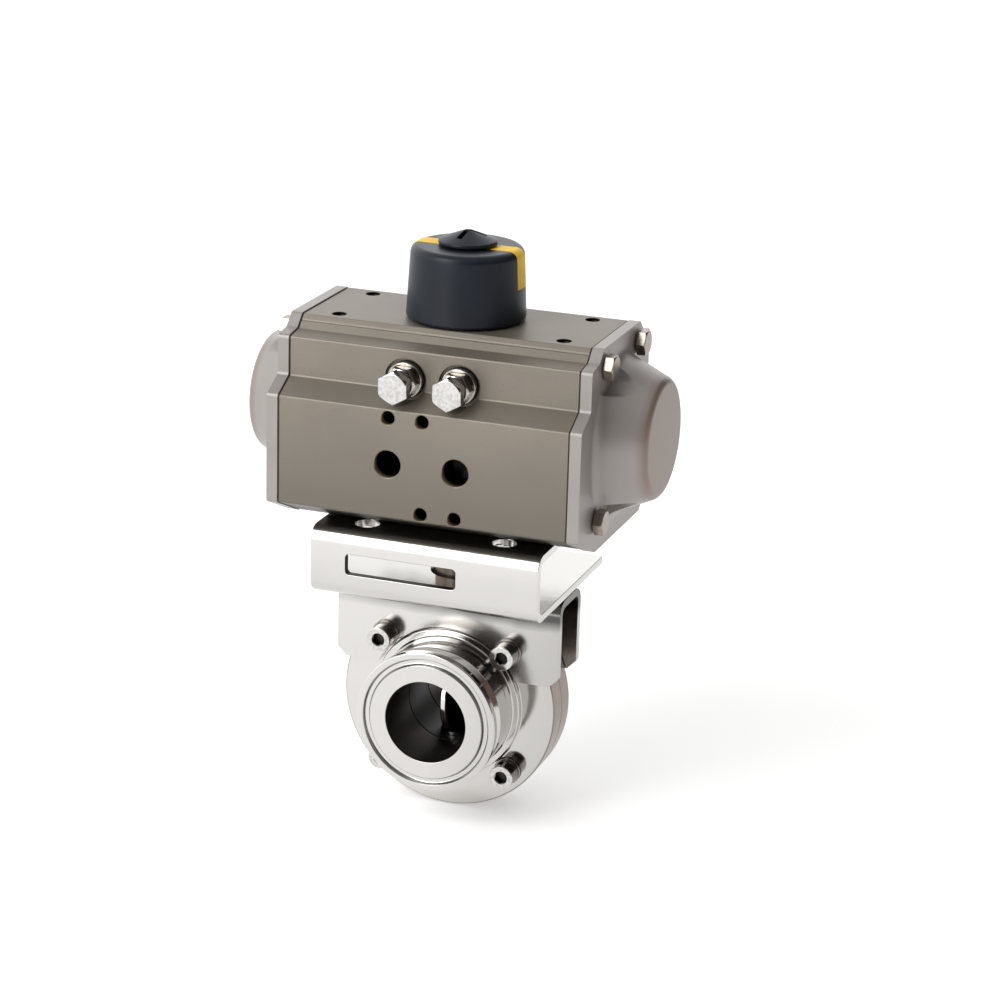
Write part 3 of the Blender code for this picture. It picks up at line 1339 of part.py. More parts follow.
def indicator_cap():
    """Cup over the pinion's top, with a keyed boss inside and a slot for each stripe."""
    roof = INDICATOR_TOP_Z - INDICATOR_WALL
    inside_r = INDICATOR_TOP_R - INDICATOR_WALL
    boss_r = TANG_R + HOLE_ROOM + INDICATOR_BOSS_WALL
    boss_z = roof - INDICATOR_BOSS_H
    inside = [(0, boss_z), (boss_r, boss_z), (boss_r, roof), (inside_r, roof),
              (inside_r, INDICATOR_Z)]
    made = to_object("indicator_cap", turned(
        inside + indicator_profile() + [(0, INDICATOR_TOP_Z)], steps=FINE), "black_plastic")
    key = double_flat(TANG_R + HOLE_ROOM, TANG_FLATS_HALF + HOLE_ROOM)
    cut(made, prism(key, boss_z - SEAT, TANG_TOP_Z + SEAT))
    cut(made, rod(KNOB_SCREW_R + HOLE_ROOM, TANG_TOP_Z, INDICATOR_TOP_Z + SEAT, steps=SMALL))
    return cut(made, stripe_shape(SEAT, -STRIPE_PROUD - SEAT, STRIPE_T + SEAT))


def stripe_shape(room, shell_out, shell_in):
    """Strap in the indicator's skin: up one side, across the top and down the other."""
    lowest = INDICATOR_TOP_Z - STRIPE_DROP - room
    outer = [point for point in indicator_profile(shell_out) if point[1] > lowest + RIM_CHAMFER]
    inner = [point for point in indicator_profile(shell_in) if point[1] > lowest + RIM_CHAMFER]
    outer.insert(0, (indicator_side_r(lowest) - shell_out, lowest))
    inner.insert(0, (indicator_side_r(lowest) - shell_in, lowest))
    right = inner[::-1] + outer
    left = [(-radius, z) for radius, z in reversed(right)]
    half = STRIPE_W / 2 + room
    return prism(right + left, -half, half, "Y")


def indicator_stripe():
    """Coloured strap that shows the disc's position, pierced for the knob's screw."""
    made = to_object("indicator_stripe", stripe_shape(0.0, -STRIPE_PROUD, STRIPE_T),
                     "yellow_plastic")
    hole_r = KNOB_SCREW_R + HOLE_ROOM
    return cut(made, rod(hole_r, TANG_TOP_Z, INDICATOR_TOP_Z + STRIPE_T, steps=SMALL))


def indicator_knob():
    """Screw with a low conical slotted head that holds the indicator down."""
    under = INDICATOR_TOP_Z + STRIPE_PROUD + SEAT
    shoulder = under + KNOB_H
    tip = TANG_TOP_Z - KNOB_SCREW_REACH
    made = to_object("indicator_knob", turned([
        (0, tip), (KNOB_SCREW_R, tip), (KNOB_SCREW_R, under), (KNOB_R, under),
        (KNOB_R, shoulder - RIM_CHAMFER), (KNOB_R - RIM_CHAMFER, shoulder),
        (KNOB_CONE_TOP_R, shoulder + KNOB_CONE_H), (0, shoulder + KNOB_CONE_H)],
        steps=MEDIUM), "black_plastic")
    floor, top = shoulder + KNOB_CONE_H / 6, shoulder + KNOB_CONE_H + SEAT
    return cut(made, merged([prism(slot, floor, top) for slot in knob_slots()]))


def knob_slots():
    """Outlines of the three slots that meet near the middle of the knob."""
    half = KNOB_SLOT_W / 2
    corners = ((KNOB_SLOT_START, -half), (KNOB_SLOT_END, -half),
               (KNOB_SLOT_END, half), (KNOB_SLOT_START, half))
    outlines = []
    for degrees in KNOB_SLOT_TURNS:
        c, s = math.cos(math.radians(degrees)), math.sin(math.radians(degrees))
        outlines.append([(x * c - y * s, x * s + y * c) for x, y in corners])
    return outlines


def build():
    """Make every piece and hang it on what carries it."""
    clear_scene()
    housing = empty("housing_axis", (0, 0, AXIS_Z))
    shaft = empty("shaft_axis", (0, 0, 0), housing)
    left_slide = empty("piston_left_axis", (0, 0, 0), housing)
    right_slide = empty("piston_right_axis", (0, 0, 0), housing)
    valve_bodies()
    valve_seat()
    stem_bush()
    body_fasteners()
    frame_channel()
    saddle()
    foot_bolts()
    ends = both_ends(end_cap()) + both_ends(cap_gasket()) + cap_screws()
    carry(housing, actuator_body() + ends + stop_parts() + bearings())
    left, right = piston_set()
    carry(left_slide, left)
    carry(right_slide, right)
    carry(shaft, [pinion(), snap_ring(), stop_cam(), indicator_cap(), indicator_stripe(),
                  indicator_knob()] + shaft_seals())
    carry(shaft, coupling() + valve_disc(), (0, 0, -AXIS_Z))


build()
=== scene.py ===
"""Visible pieces, finishes and studio of a pneumatic sanitary butterfly valve.

Every piece is modelled over the packed CAD model and rides on its body. Lengths in the
modelling code are millimetres in the CAD frame; MM turns them into Blender's metres.
"""

import math
from types import SimpleNamespace

import bpy
from mathutils import Matrix, Vector


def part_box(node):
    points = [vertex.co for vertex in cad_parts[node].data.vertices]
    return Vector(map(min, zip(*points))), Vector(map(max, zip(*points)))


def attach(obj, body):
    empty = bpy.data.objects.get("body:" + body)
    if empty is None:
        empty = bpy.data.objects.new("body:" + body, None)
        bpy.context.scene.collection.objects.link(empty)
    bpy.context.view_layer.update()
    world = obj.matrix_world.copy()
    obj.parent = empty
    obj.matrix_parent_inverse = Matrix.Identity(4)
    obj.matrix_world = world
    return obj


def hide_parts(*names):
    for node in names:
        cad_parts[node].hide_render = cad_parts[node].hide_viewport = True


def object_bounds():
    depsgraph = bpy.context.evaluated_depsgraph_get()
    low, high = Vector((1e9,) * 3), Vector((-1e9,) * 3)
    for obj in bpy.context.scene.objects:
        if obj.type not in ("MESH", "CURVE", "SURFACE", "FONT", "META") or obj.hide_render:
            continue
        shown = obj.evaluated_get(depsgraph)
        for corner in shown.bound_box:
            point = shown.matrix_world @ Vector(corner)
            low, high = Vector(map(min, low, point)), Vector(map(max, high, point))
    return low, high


bl_info = {
    "name": "Pneumatic butterfly valve",
    "version": (1, 0, 0),
    "blender": (4, 5, 0),
    "location": "3D View > Sidebar > Valve",
    "description": "Models the pieces, finishes and studio of a pneumatic butterfly valve",
    "category": "Object",
}

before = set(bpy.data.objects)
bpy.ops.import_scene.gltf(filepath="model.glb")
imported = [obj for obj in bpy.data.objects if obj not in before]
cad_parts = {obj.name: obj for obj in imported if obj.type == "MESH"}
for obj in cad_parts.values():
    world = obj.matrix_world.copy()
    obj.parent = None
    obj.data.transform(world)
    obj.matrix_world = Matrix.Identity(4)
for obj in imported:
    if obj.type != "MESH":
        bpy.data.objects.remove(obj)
CAD_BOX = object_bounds()

MM = 0.001
WELD = 0.002 * MM  # edges shorter than this are merged after a Boolean
TURN = math.tau
AXES = {"X": Vector((1, 0, 0)), "Y": Vector((0, 1, 0)), "Z": Vector((0, 0, 1))}
SIDES = (("left", -1), ("right", 1))
CORNERS = ("top_front", "top_rear", "bottom_front", "bottom_rear")
FOOT_BOLTS = tuple("foot_bolt_" + end for end in ("front_left", "front_right", "rear_left",
                                                  "rear_right"))
SCREW_HOLE_R = 2.8  # clearance hole of the cap and body screws, in millimetres
FOOT_HOLE_R = 3.3  # clearance hole of the foot bolts
CAP_FACE_SHADE_X = (67.5, 70.5)  # where a cap's cone turns into its end face, which is painted darker and browner as shade
FERRULE_FACE_Y = (24.0, 26.0)  # where the gasket groove's shadow fades in
DISC_RIM = (14.4, 14.0)  # where the disc's bright rim turns into its faces, which are painted dark as the bore's shade

# Cross-section of the extruded housing as (y, z from the cylinder axis, easing radius)
HOUSING_SECTION = (
    (19.6, 33.8, 0.5), (-19.6, 33.8, 0.5), (-21.0, 32.4, 0.1), (-21.15, 31.85, 0.1),
    (-21.7, 31.7, 0.1), (-23.8, 29.6, 0.4), (-30.8, 28.6, 0.7), (-30.8, 15.1, 0.9),
    (-39.9, 10.3, 0.7), (-39.9, -27.0, 0.6), (-21.48, -35.2, 0.6), (27.0, -35.2, 0.6),
    (30.8, -31.4, 0.6), (30.8, 28.6, 0.7), (23.8, 29.6, 0.4), (21.7, 31.7, 0.1),
    (21.15, 31.85, 0.1), (21.0, 32.4, 0.1))

# Outline of an end cap's flange, a little larger than the housing
CAP_OUTLINE = (
    (19.72, 34.1, 1.6), (-19.72, 34.1, 1.6), (-23.95, 29.88, 1.2), (-31.1, 28.86, 1.6),
    (-31.1, 15.3, 1.6), (-40.2, 10.5, 1.6), (-40.2, -27.2, 1.6), (-21.54, -35.5, 1.6),
    (27.12, -35.5, 1.6), (31.1, -31.52, 1.6), (31.1, 28.86, 1.6), (23.95, 29.88, 1.2))

# The gasket between housing and cap stands back a little from both
GASKET_OUTLINE = (
    (19.4, 33.4, 0.5), (-19.4, 33.4, 0.5), (-23.4, 29.3, 0.4), (-30.3, 28.2, 0.7),
    (-30.3, 14.8, 0.9), (-39.5, 10.1, 0.7), (-39.5, -26.7, 0.6), (-21.3, -34.8, 0.6),
    (26.8, -34.8, 0.6), (30.3, -31.2, 0.6), (30.3, 28.2, 0.7), (23.4, 29.3, 0.4))


# Sizes and colours that a user may change


def length(label, value, text):
    """Length property, given in millimetres."""
    return bpy.props.FloatProperty(name=label, description=text, default=value * MM, min=0.0,
                                   precision=5, subtype="DISTANCE", unit="LENGTH")


def tint(label, value, text):
    """Colour property."""
    return bpy.props.FloatVectorProperty(name=label, description=text, default=value, size=3,
                                         min=0.0, max=1.0, subtype="COLOR")


def amount(label, value, text):
    """Plain number property."""
    return bpy.props.FloatProperty(name=label, description=text, default=value, min=0.0)


class ValveSizes(bpy.types.PropertyGroup):
    """Sizes of the clamp-end valve."""
    bore_r: length("Bore radius", 14.5, "Radius of the flow bore")
    face_y: length("Clamp face", 30.8, "Distance of each clamp face from the middle")
    ferrule_r: length("Ferrule radius", 25.25, "Outside radius of the clamp ferrule")
    gasket_r: length("Gasket groove radius", 21.75, "Mean radius of the gasket groove")
    neck_r: length("Neck radius", 24.5, "Radius of the neck between ferrule and flange")
    step_r: length("Step radius", 26.9, "Radius of the step in front of the flange")
    step_y: length("Step face", 10.6, "Distance of the step's face from the middle")
    flange_r: length("Flange radius", 38.9, "Radius of the bolted flange")
    flange_y: length("Flange face", 8.1, "Distance of the flange's face from the middle")
    screw_half: length("Screw spacing", 22.63, "Half the spacing of the four body screws")
    stem_r: length("Stem radius", 5.0, "Radius of the disc's stem")
    disc_r: length("Disc radius", 14.2, "Radius of the disc")


class BracketSizes(bpy.types.PropertyGroup):
    """Sizes of the two bent sheets between valve and actuator."""
    sheet: length("Sheet", 2.8, "Thickness of both sheets")
    saddle_half: length("Saddle half width", 40.8, "Half the width of the saddle")
    saddle_bend: length("Saddle bend", 5.5, "Outside radius of the saddle's bends")
    notch_r: length("Notch radius", 27.9, "Radius of the notch round the valve's step")
    frame_half: length("Frame half width", 40.9, "Half the width of the frame")
    frame_bend: length("Frame bend", 5.0, "Outside radius of the frame's bends")
    window_left: length("Window start", 28.1, "Distance of the window's left end from the middle")
    window_w: length("Window width", 39.7, "Width of the window in the front wall")
    window_h: length("Window height", 7.2, "Height of the window in the front wall")
    shaft_hole_r: length("Shaft hole radius", 10.1, "Radius of the holes for the coupling")


class ActuatorSizes(bpy.types.PropertyGroup):
    """Sizes of the actuator's housing and end caps."""
    axis_z: length("Axis height", 102.3, "Height of the cylinder axis above the valve's middle")
    bore_r: length("Cylinder radius", 26.0, "Radius of the cylinder bore")
    port_r: length("Port radius", 4.7, "Radius of the two air ports")
    port_half: length("Port spacing", 12.0, "Half the distance between the air ports")
    port_drop: length("Port drop", 8.6, "Distance of the ports below the axis")
    pad_screw_rise: length("Pad screw rise", 16.0, "Height of the pad's screw holes over the ports")
    tapped_r: length("Tapped hole radius", 2.35, "Radius of the tapped accessory holes")
    top_hole_x: length("Top hole x", 40.0, "Half the length of the accessory pattern")
    top_hole_y: length("Top hole y", 15.0, "Half the width of the accessory pattern")
    spot_r: length("Spot face radius", 7.4, "Radius of the spot face round each stop screw")
    cap_cone_r: length("Cap cone radius", 28.0, "Radius of an end cap's cone at its flange")
    cap_face_r: length("Cap face radius", 20.0, "Radius of an end cap's outer face")
    cap_flange_t: length("Cap flange", 3.6, "Thickness of an end cap's flange")
    cap_pocket_r: length("Cap pocket radius", 9.5, "Radius of the pocket round an upper screw")
    cap_rim: length("Cap rim", 1.2, "Easing of an end cap's edges")


class IndicatorSizes(bpy.types.PropertyGroup):
    """Sizes of the position indicator."""
    base_r: length("Base radius", 20.4, "Radius of the cap at its base")
    top_r: length("Top radius", 19.1, "Radius of the cap at its top")
    edge_r: length("Edge radius", 2.8, "Radius of the cap's upper edge")
    stripe_w: length("Stripe width", 6.8, "Width of the coloured stripe")
    stripe_drop: length("Stripe drop", 13.0, "How far the stripe comes down the side")
    knob_r: length("Knob radius", 10.0, "Radius of the knob on top")


class FinishColours(bpy.types.PropertyGroup):
    """Colours of the finishes."""
    housing: tint("Housing", (0.208, 0.184, 0.152), "Anodised housing")
    cap: tint("End caps", (0.305, 0.283, 0.265), "Painted end caps")
    steel: tint("Steel", (0.63, 0.615, 0.595), "Stainless steel")
    plastic: tint("Plastic", (0.008, 0.011, 0.018), "Indicator's cap and knob")
    stripe: tint("Stripe", (0.80, 0.52, 0.03), "Indicator's stripe")
    rubber: tint("Rubber", (0.012, 0.011, 0.010), "Seals and gaskets")


class StudioSettings(bpy.types.PropertyGroup):
    """Floor, light and camera."""
    floor: tint("Floor", (0.80, 0.80, 0.80), "Colour of the floor")
    glow: amount("Floor glow", 0.42, "Light that the floor gives of itself")
    panel: amount("Panel", 4.6, "Brightness of the panel in front on the left")
    left_wall: amount("Left wall", 1.5, "Brightness of the room on the left")
    right_wall: tint("Right wall", (0.17, 0.125, 0.10), "Light of the room on the right")
    dark_room: tint("Dark room", (0.03, 0.024, 0.022), "Light of the room behind the camera")
    zenith: amount("Ceiling", 0.66, "Brightness overhead")
    key_power: amount("Key light", 16.0, "Power of the large light above the front, in watts")
    lens: bpy.props.FloatProperty(name="Lens", description="Focal length of the camera",
                                  default=109.4, min=1.0, subtype="DISTANCE_CAMERA",
                                  unit="CAMERA")


GROUPS = {"valve_sizes": ValveSizes, "bracket_sizes": BracketSizes,
          "actuator_sizes": ActuatorSizes, "indicator_sizes": IndicatorSizes,
          "finish_colours": FinishColours, "studio_settings": StudioSettings}


def in_millimetres(group):
    """Lengths of a property group as plain numbers in millimetres."""
    return SimpleNamespace(**{key: getattr(group, key) / MM for key in group.__annotations__})


# Bench tools: drawing, turning, cutting and copying


def along(axis, first, second, run):
    """Point whose run lies along an axis; first and second are the other two axes in order."""
    return {"X": Vector((run, first, second)), "Y": Vector((first, run, second)),
            "Z": Vector((first, second, run))}[axis]


def take(piece):
    """Make a piece the only selected one, and active."""
    bpy.ops.object.select_all(action="DESELECT")
    piece.select_set(True)
    bpy.context.view_layer.objects.active = piece
    return piece


def eased(points, closed=False):
    """Corners as (first, second), each corner with a third number rounded by that radius."""
    made = []
    for i, point in enumerate(points):
        here = Vector(point[:2])
        ends = not closed and i in (0, len(points) - 1)
        if len(point) < 3 or point[2] == 0 or ends:
            made.append(here)
            continue
        back = Vector(points[i - 1][:2]) - here
        ahead = Vector(points[(i + 1) % len(points)][:2]) - here
        half = back.angle(ahead) / 2
        reach = min(point[2] / math.tan(half), back.length * 0.49, ahead.length * 0.49)
        centre = here + (back.normalized() + ahead.normalized()).normalized() * (
            reach / math.cos(half))
        first = here + back.normalized() * reach - centre
        last = here + ahead.normalized() * reach - centre
        sweep = first.angle_signed(last)
        steps = max(2, math.ceil(abs(sweep) / math.radians(14)))
        for step in range(steps + 1):
            arm = first.copy()
            arm.rotate(Matrix.Rotation(-sweep * step / steps, 2))
            made.append(centre + arm)
    return made


def trace(name, points):
    """Draw a chain of edges through points by extruding one vertex; stays in edit mode."""
    bpy.ops.object.select_all(action="DESELECT")
    bpy.ops.mesh.primitive_plane_add(size=MM, location=(0, 0, 0))
    piece = bpy.context.object
    piece.name = piece.data.name = name
    bpy.ops.object.mode_set(mode="EDIT")
    bpy.ops.mesh.select_all(action="SELECT")
    bpy.ops.mesh.merge(type="CENTER")
    bpy.ops.transform.translate(value=points[0] * MM)
    for before, after in zip(points, points[1:]):
        bpy.ops.mesh.extrude_vertices_move(
            TRANSFORM_OT_translate={"value": (after - before) * MM})
    bpy.ops.mesh.select_all(action="SELECT")
    return piece


def close_up():
    """Merge doubles, turn all faces outwards and leave edit mode."""
    bpy.ops.mesh.select_all(action="SELECT")
    bpy.ops.mesh.remove_doubles(threshold=MM * 0.001)
    bpy.ops.mesh.normals_make_consistent(inside=False)
    bpy.ops.object.mode_set(mode="OBJECT")


def lathe(name, profile, axis="Z", centre=(0.0, 0.0), steps=96, ring=False):
    """Turn a profile of (radius, height) corners about an axis; a ring's profile is closed."""
    corners = eased(profile, ring)
    if ring:
        corners.append(corners[0])
    points = [along(axis, centre[0] + r, centre[1], h) for r, h in corners]
    piece = trace(name, points)
    bpy.ops.mesh.spin(steps=steps, angle=TURN, center=along(axis, *centre, 0) * MM,
                      axis=AXES[axis])
    close_up()
    return piece


def rod(radius, start, end, axis="Z", centre=(0.0, 0.0), steps=48, name="rod"):
    """Plain round bar."""
    return lathe(name, [(0, start), (radius, start), (radius, end), (0, end)], axis, centre, steps)


def slab(name, outline, start, end, axis="Z", centre=(0.0, 0.0)):
    """Fill a closed outline and extrude it along an axis."""
    points = [along(axis, centre[0] + a, centre[1] + b, start) for a, b in eased(outline, True)]
    piece = trace(name, points)
    bpy.ops.mesh.edge_face_add()
    bpy.ops.mesh.extrude_region_move(
        TRANSFORM_OT_translate={"value": along(axis, 0, 0, end - start) * MM})
    close_up()
    return piece


def joined(pieces):
    """One object of several."""
    take(pieces[0])
    for piece in pieces[1:]:
        piece.select_set(True)
    if len(pieces) > 1:
        bpy.ops.object.join()
    return pieces[0]


def modify(piece, kind, **settings):
    """Add a modifier with its settings and apply it."""
    take(piece)
    bpy.ops.object.modifier_add(type=kind)
    modifier = piece.modifiers[-1]
    for key, value in settings.items():
        setattr(modifier, key, value)
    bpy.ops.object.modifier_apply(modifier=modifier.name)
    return piece


def closed(piece):
    """Whether every edge of a piece lies between two faces."""
    counts = {}
    for face in piece.data.polygons:
        for edge in face.edge_keys:
            counts[edge] = counts.get(edge, 0) + 1
    return all(count % 2 == 0 for count in counts.values())


def volume(mesh):
    """Volume inside a mesh, in cubic millimetres."""
    mesh.calc_loop_triangles()
    total = 0.0
    for triangle in mesh.loop_triangles:
        first, second, third = (mesh.vertices[i].co for i in triangle.vertices)
        total += first.dot(second.cross(third))
    return total / 6 / MM ** 3


def plausible(operation, whole, tool, result):
    """Whether a volume can come out of an operation on two others."""
    if operation == "DIFFERENCE":
        return whole - 1.02 * tool <= result <= 1.001 * whole
    if operation == "UNION":
        return 0.99 * max(whole, tool) <= result <= 1.01 * (whole + tool)
    return 0 < result <= 1.01 * min(whole, tool)


def boolean(piece, operation, tools):
    """Work a piece with one or more tools, which are used up; a tool's finish stays on its cut."""
    for tool in tools:
        before = piece.data.copy()
        sound = closed(piece)
        whole, taken = volume(before), volume(tool.data)
        for attempt in range(3):
            if attempt:
                piece.data = before.copy()
            modify(piece, "BOOLEAN", operation=operation, object=tool, solver="EXACT",
                   material_mode="TRANSFER")
            fits = plausible(operation, whole, taken, volume(piece.data))
            if fits and (closed(piece) or not sound):
                break
        if not fits:
            raise RuntimeError(f"{piece.name} can't be worked with {tool.name}")
        bpy.data.meshes.remove(before)
        bpy.data.objects.remove(tool)
    return piece


def cut(piece, *tools):
    """Take tools out of a piece."""
    return boolean(piece, "DIFFERENCE", tools)


def fuse(piece, *tools):
    """Add tools to a piece."""
    return boolean(piece, "UNION", tools)


def common(piece, *tools):
    """Keep what a piece shares with each tool."""
    return boolean(piece, "INTERSECT", tools)


def soften(piece, width, segments=2, limit=40):
    """Ease the sharp edges of a piece."""
    return modify(piece, "BEVEL", width=width * MM, segments=segments, limit_method="ANGLE",
                  angle_limit=math.radians(limit), miter_outer="MITER_ARC",
                  use_clamp_overlap=True)


def welded(piece):
    """Merge the hair-thin edges that a Boolean or a bevel leaves, so the next step stays closed."""
    take(piece)
    bpy.ops.object.mode_set(mode="EDIT")
    bpy.ops.mesh.select_all(action="SELECT")
    bpy.ops.mesh.remove_doubles(threshold=WELD)
    bpy.ops.mesh.dissolve_degenerate(threshold=WELD)
    bpy.ops.object.mode_set(mode="OBJECT")
    return piece


def smooth(piece, limit=35):
    """Shade a piece smooth with crisp edges."""
    take(piece)
    bpy.ops.object.shade_smooth_by_angle(angle=math.radians(limit))
    return modify(piece, "WEIGHTED_NORMAL", keep_sharp=True)


def settled(piece, shift, half_turn=False):
    """Turn a piece about the shaft if asked, and move it for good."""
    take(piece)
    if half_turn:
        bpy.ops.transform.rotate(value=math.pi, orient_axis="Z", center_override=(0, 0, 0))
    bpy.ops.transform.translate(value=Vector(shift) * MM)
    bpy.ops.object.transform_apply(location=True, rotation=True, scale=True)
    return piece


def copied(source, name, shift=(0, 0, 0), half_turn=False, mirrored=False):
    """Copy of a piece with its own mesh, turned or mirrored about the shaft, then shifted."""
    take(source)
    bpy.ops.object.duplicate(linked=False)
    made = bpy.context.object
    made.name = made.data.name = name
    if mirrored:
        bpy.ops.transform.resize(value=(-1, 1, 1), center_override=(0, 0, 0))
    settled(made, shift, half_turn)
    if mirrored:
        bpy.ops.object.mode_set(mode="EDIT")
        close_up()
    return made


def node_box(node):
    """Lowest and highest corner of a CAD node in millimetres."""
    low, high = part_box(node)
    return low / MM, high / MM


def middle(node):
    """Middle of a CAD node's box in millimetres."""
    low, high = node_box(node)
    return (low + high) / 2


def coat(piece, finish):
    """Put a finish in a piece's first place."""
    material = bpy.data.materials[finish]
    if piece.data.materials:
        piece.data.materials[0] = material
    else:
        piece.data.materials.append(material)
    return piece


def hand_over(piece, finish, slot, body, *nodes):
    """Give a piece its finish, its body and the CAD nodes that it stands for."""
    coat(piece, finish)
    if nodes:
        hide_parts(*nodes)
    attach(piece, body)


def hexagon(flats, turn=0.0):
    """Corners of a hexagon of that width across its flats."""
    corner = flats / math.sqrt(3)
    return [(corner * math.cos(turn + TURN * i / 6), corner * math.sin(turn + TURN * i / 6))
            for i in range(6)]


def thread(radius, start, end, pitch, depth):
    """Ridges of a thread as (radius, height) corners from start to end."""
    count = max(1, round(abs(end - start) / pitch))
    step = (end - start) / count
    points = []
    for i in range(count):
        points += [(radius, start + step * i), (radius - depth, start + step * (i + 0.5))]
    return points + [(radius, end)]


def tapped(radius, mouth, floor, axis, centre, pitch=0.8):
    """Cutter for a tapped hole with a countersunk mouth, from mouth inwards to floor."""
    inward = 1 if floor > mouth else -1
    sink = pitch * 0.35
    profile = [(0, mouth - inward), (radius + sink + 1, mouth - inward),
               (radius, mouth + inward * sink)]
    profile += thread(radius, mouth + inward * (sink + 0.1), floor - inward * 0.5, pitch,
                      -pitch * 0.3)
    profile += [(radius, floor), (0, floor + inward * radius * 0.5)]
    return lathe("tap", profile, axis, centre, 32)


# Fasteners, drawn with the head's bearing face at zero and the head towards +run


def hex_head(name, flats, height, axis, foot_r=None, turn=0.0):
    """Hexagon head or nut blank with chamfered corners on top."""
    corner = flats / math.sqrt(3)
    drop = (corner - flats * 0.475) * math.tan(math.radians(30))
    blank = slab(name, hexagon(flats, turn), -1.0, height + 1, axis)
    bottom = [(0, 0), (foot_r, 0), (foot_r, 0.25), (corner + 0.2, 0.25)] if foot_r else [
        (0, 0), (flats * 0.475, 0), (corner + 0.01, drop)]
    crown = lathe("crown", bottom + [
        (corner + (0.2 if foot_r else 0.01), height - drop), (flats * 0.475, height),
        (0, height)], axis, steps=72)
    return welded(common(blank, crown))


def hex_bolt(name, axis, flats, head_h, shank_r, shank_l, pitch, turn=0.0):
    """Hexagon bolt with a washer face under its head and a threaded shank."""
    head = hex_head(name, flats, head_h, axis, flats * 0.47, turn)
    shank = lathe("shank", [(0, -shank_l), (shank_r - 0.5, -shank_l), (shank_r, 0.5 - shank_l)]
                  + thread(shank_r, 0.8 - shank_l, -0.6, pitch, pitch * 0.45)
                  + [(shank_r * 0.9, -0.3), (shank_r * 0.9, 0.6), (0, 0.6)], axis, steps=32)
    return welded(fuse(welded(soften(head, 0.18, 2, 25)), shank))


# Finishes


class Line:
    """Output of a node; sums and products with it add Math nodes to the same finish."""

    def __init__(self, finish, socket):
        self.finish, self.socket = finish, socket

    def _math(self, operation, first, second):
        return self.finish.node("ShaderNodeMath", {"operation": operation}, {0: first, 1: second})

    def __add__(self, other):
        return self._math("ADD", self, other)

    __radd__ = __add__

    def __mul__(self, other):
        return self._math("MULTIPLY", self, other)

    __rmul__ = __mul__

    def __sub__(self, other):
        return self._math("SUBTRACT", self, other)

    def __rsub__(self, other):
        return self._math("SUBTRACT", other, self)


class Nodes:
    """Node tree under construction."""

    def __init__(self, tree):
        self.tree = tree

    def node(self, kind, settings=None, sockets=None, output=0):
        """Add a node: settings first, then values or lines on its sockets."""
        made = self.tree.nodes.new(kind)
        for key, value in (settings or {}).items():
            if key == "stops":
                ramp = made.color_ramp
                for i, (position, grey) in enumerate(value):
                    stop = ramp.elements[i] if i < 2 else ramp.elements.new(position)
                    stop.position = position
                    stop.color = (grey, grey, grey, 1)
            else:
                setattr(made, key, value)
        for key, value in (sockets or {}).items():
            self.plug(made.inputs[key], value)
        return Line(self, made.outputs[output])

    def plug(self, socket, value):
        """Set a socket to a value or link it to a line."""
        if isinstance(value, Line):
            self.tree.links.new(value.socket, socket)
        elif hasattr(value, "__len__") and len(value) == 3 and socket.type == "RGBA":
            socket.default_value = (*value, 1)
        else:
            socket.default_value = value

    def ramp(self, line, low, high, start=0.0, end=1.0):
        """Line spread between two numbers where it runs from low to high."""
        return self.node("ShaderNodeMapRange", {"clamp": True}, {
            "Value": line, "From Min": low, "From Max": high, "To Min": start, "To Max": end})

    def blend(self, factor, first, second):
        """Mix of two colours."""
        return self.node("ShaderNodeMix", {"data_type": "RGBA"}, {
            "Factor": factor, 6: first, 7: second}, output=2)


class Finish(Nodes):
    """Material under construction, with the piece's own coordinates at hand."""

    def __init__(self, name, roughness, metallic, **constants):
        self.material = bpy.data.materials.new(name)
        self.material.use_nodes = True
        super().__init__(self.material.node_tree)
        self.shader = self.tree.nodes["Principled BSDF"]
        self.place = self.node("ShaderNodeTexCoord", output="Object")
        self.set(Roughness=roughness, Metallic=metallic, **constants)

    def set(self, **sockets):
        """Plug the shader's sockets."""
        for key, value in sockets.items():
            self.plug(self.shader.inputs[key.replace("_", " ")], value)

    def stretched(self, scale, centre=(0, 0, 0)):
        """Own coordinates in millimetres, stretched by a factor for each axis."""
        factors = [number / MM for number in scale]
        return self.node("ShaderNodeMapping", {"vector_type": "POINT"}, {
            "Vector": self.place, "Scale": factors,
            "Location": [-c * s for c, s in zip(centre, scale)]})

    def noise(self, per_mm, detail=2.0, stretch=(1, 1, 1)):
        """Noise between 0 and 1 with so many cells in a millimetre."""
        place = self.stretched([per_mm * factor for factor in stretch])
        return self.node("ShaderNodeTexNoise", {}, {
            "Vector": place, "Scale": 1.0, "Detail": detail})

    def relief(self, height, depth, strength=1.0, under=None):
        """Bump of a height line, its depth in millimetres."""
        sockets = {"Height": height, "Distance": depth * MM, "Strength": strength}
        if under:
            sockets["Normal"] = under
        return self.node("ShaderNodeBump", {}, sockets)

    def away(self, axis, centre):
        """Distance from an axis in millimetres."""
        flat = [0.0 if letter == axis else 1.0 for letter in "XYZ"]
        return self.node("ShaderNodeVectorMath", {"operation": "LENGTH"}, {
            0: self.stretched(flat, centre)}, output="Value")

    def along(self, axis):
        """Position along an axis in millimetres."""
        return self.node("ShaderNodeSeparateXYZ", {}, {0: self.stretched((1, 1, 1))},
                         output=axis)

    def rings(self, axis, away, per_mm, detail=2.0):
        """Noise that changes only with the distance from an axis and along it."""
        place = self.node("ShaderNodeCombineXYZ", {},
                          {0: away * per_mm, 1: self.along(axis) * per_mm})
        return self.node("ShaderNodeTexNoise", {}, {
            "Vector": place, "Scale": 1.0, "Detail": detail})


def shade_of(colour, factor):
    """Darker or lighter version of a colour."""
    return tuple(channel * factor for channel in colour)


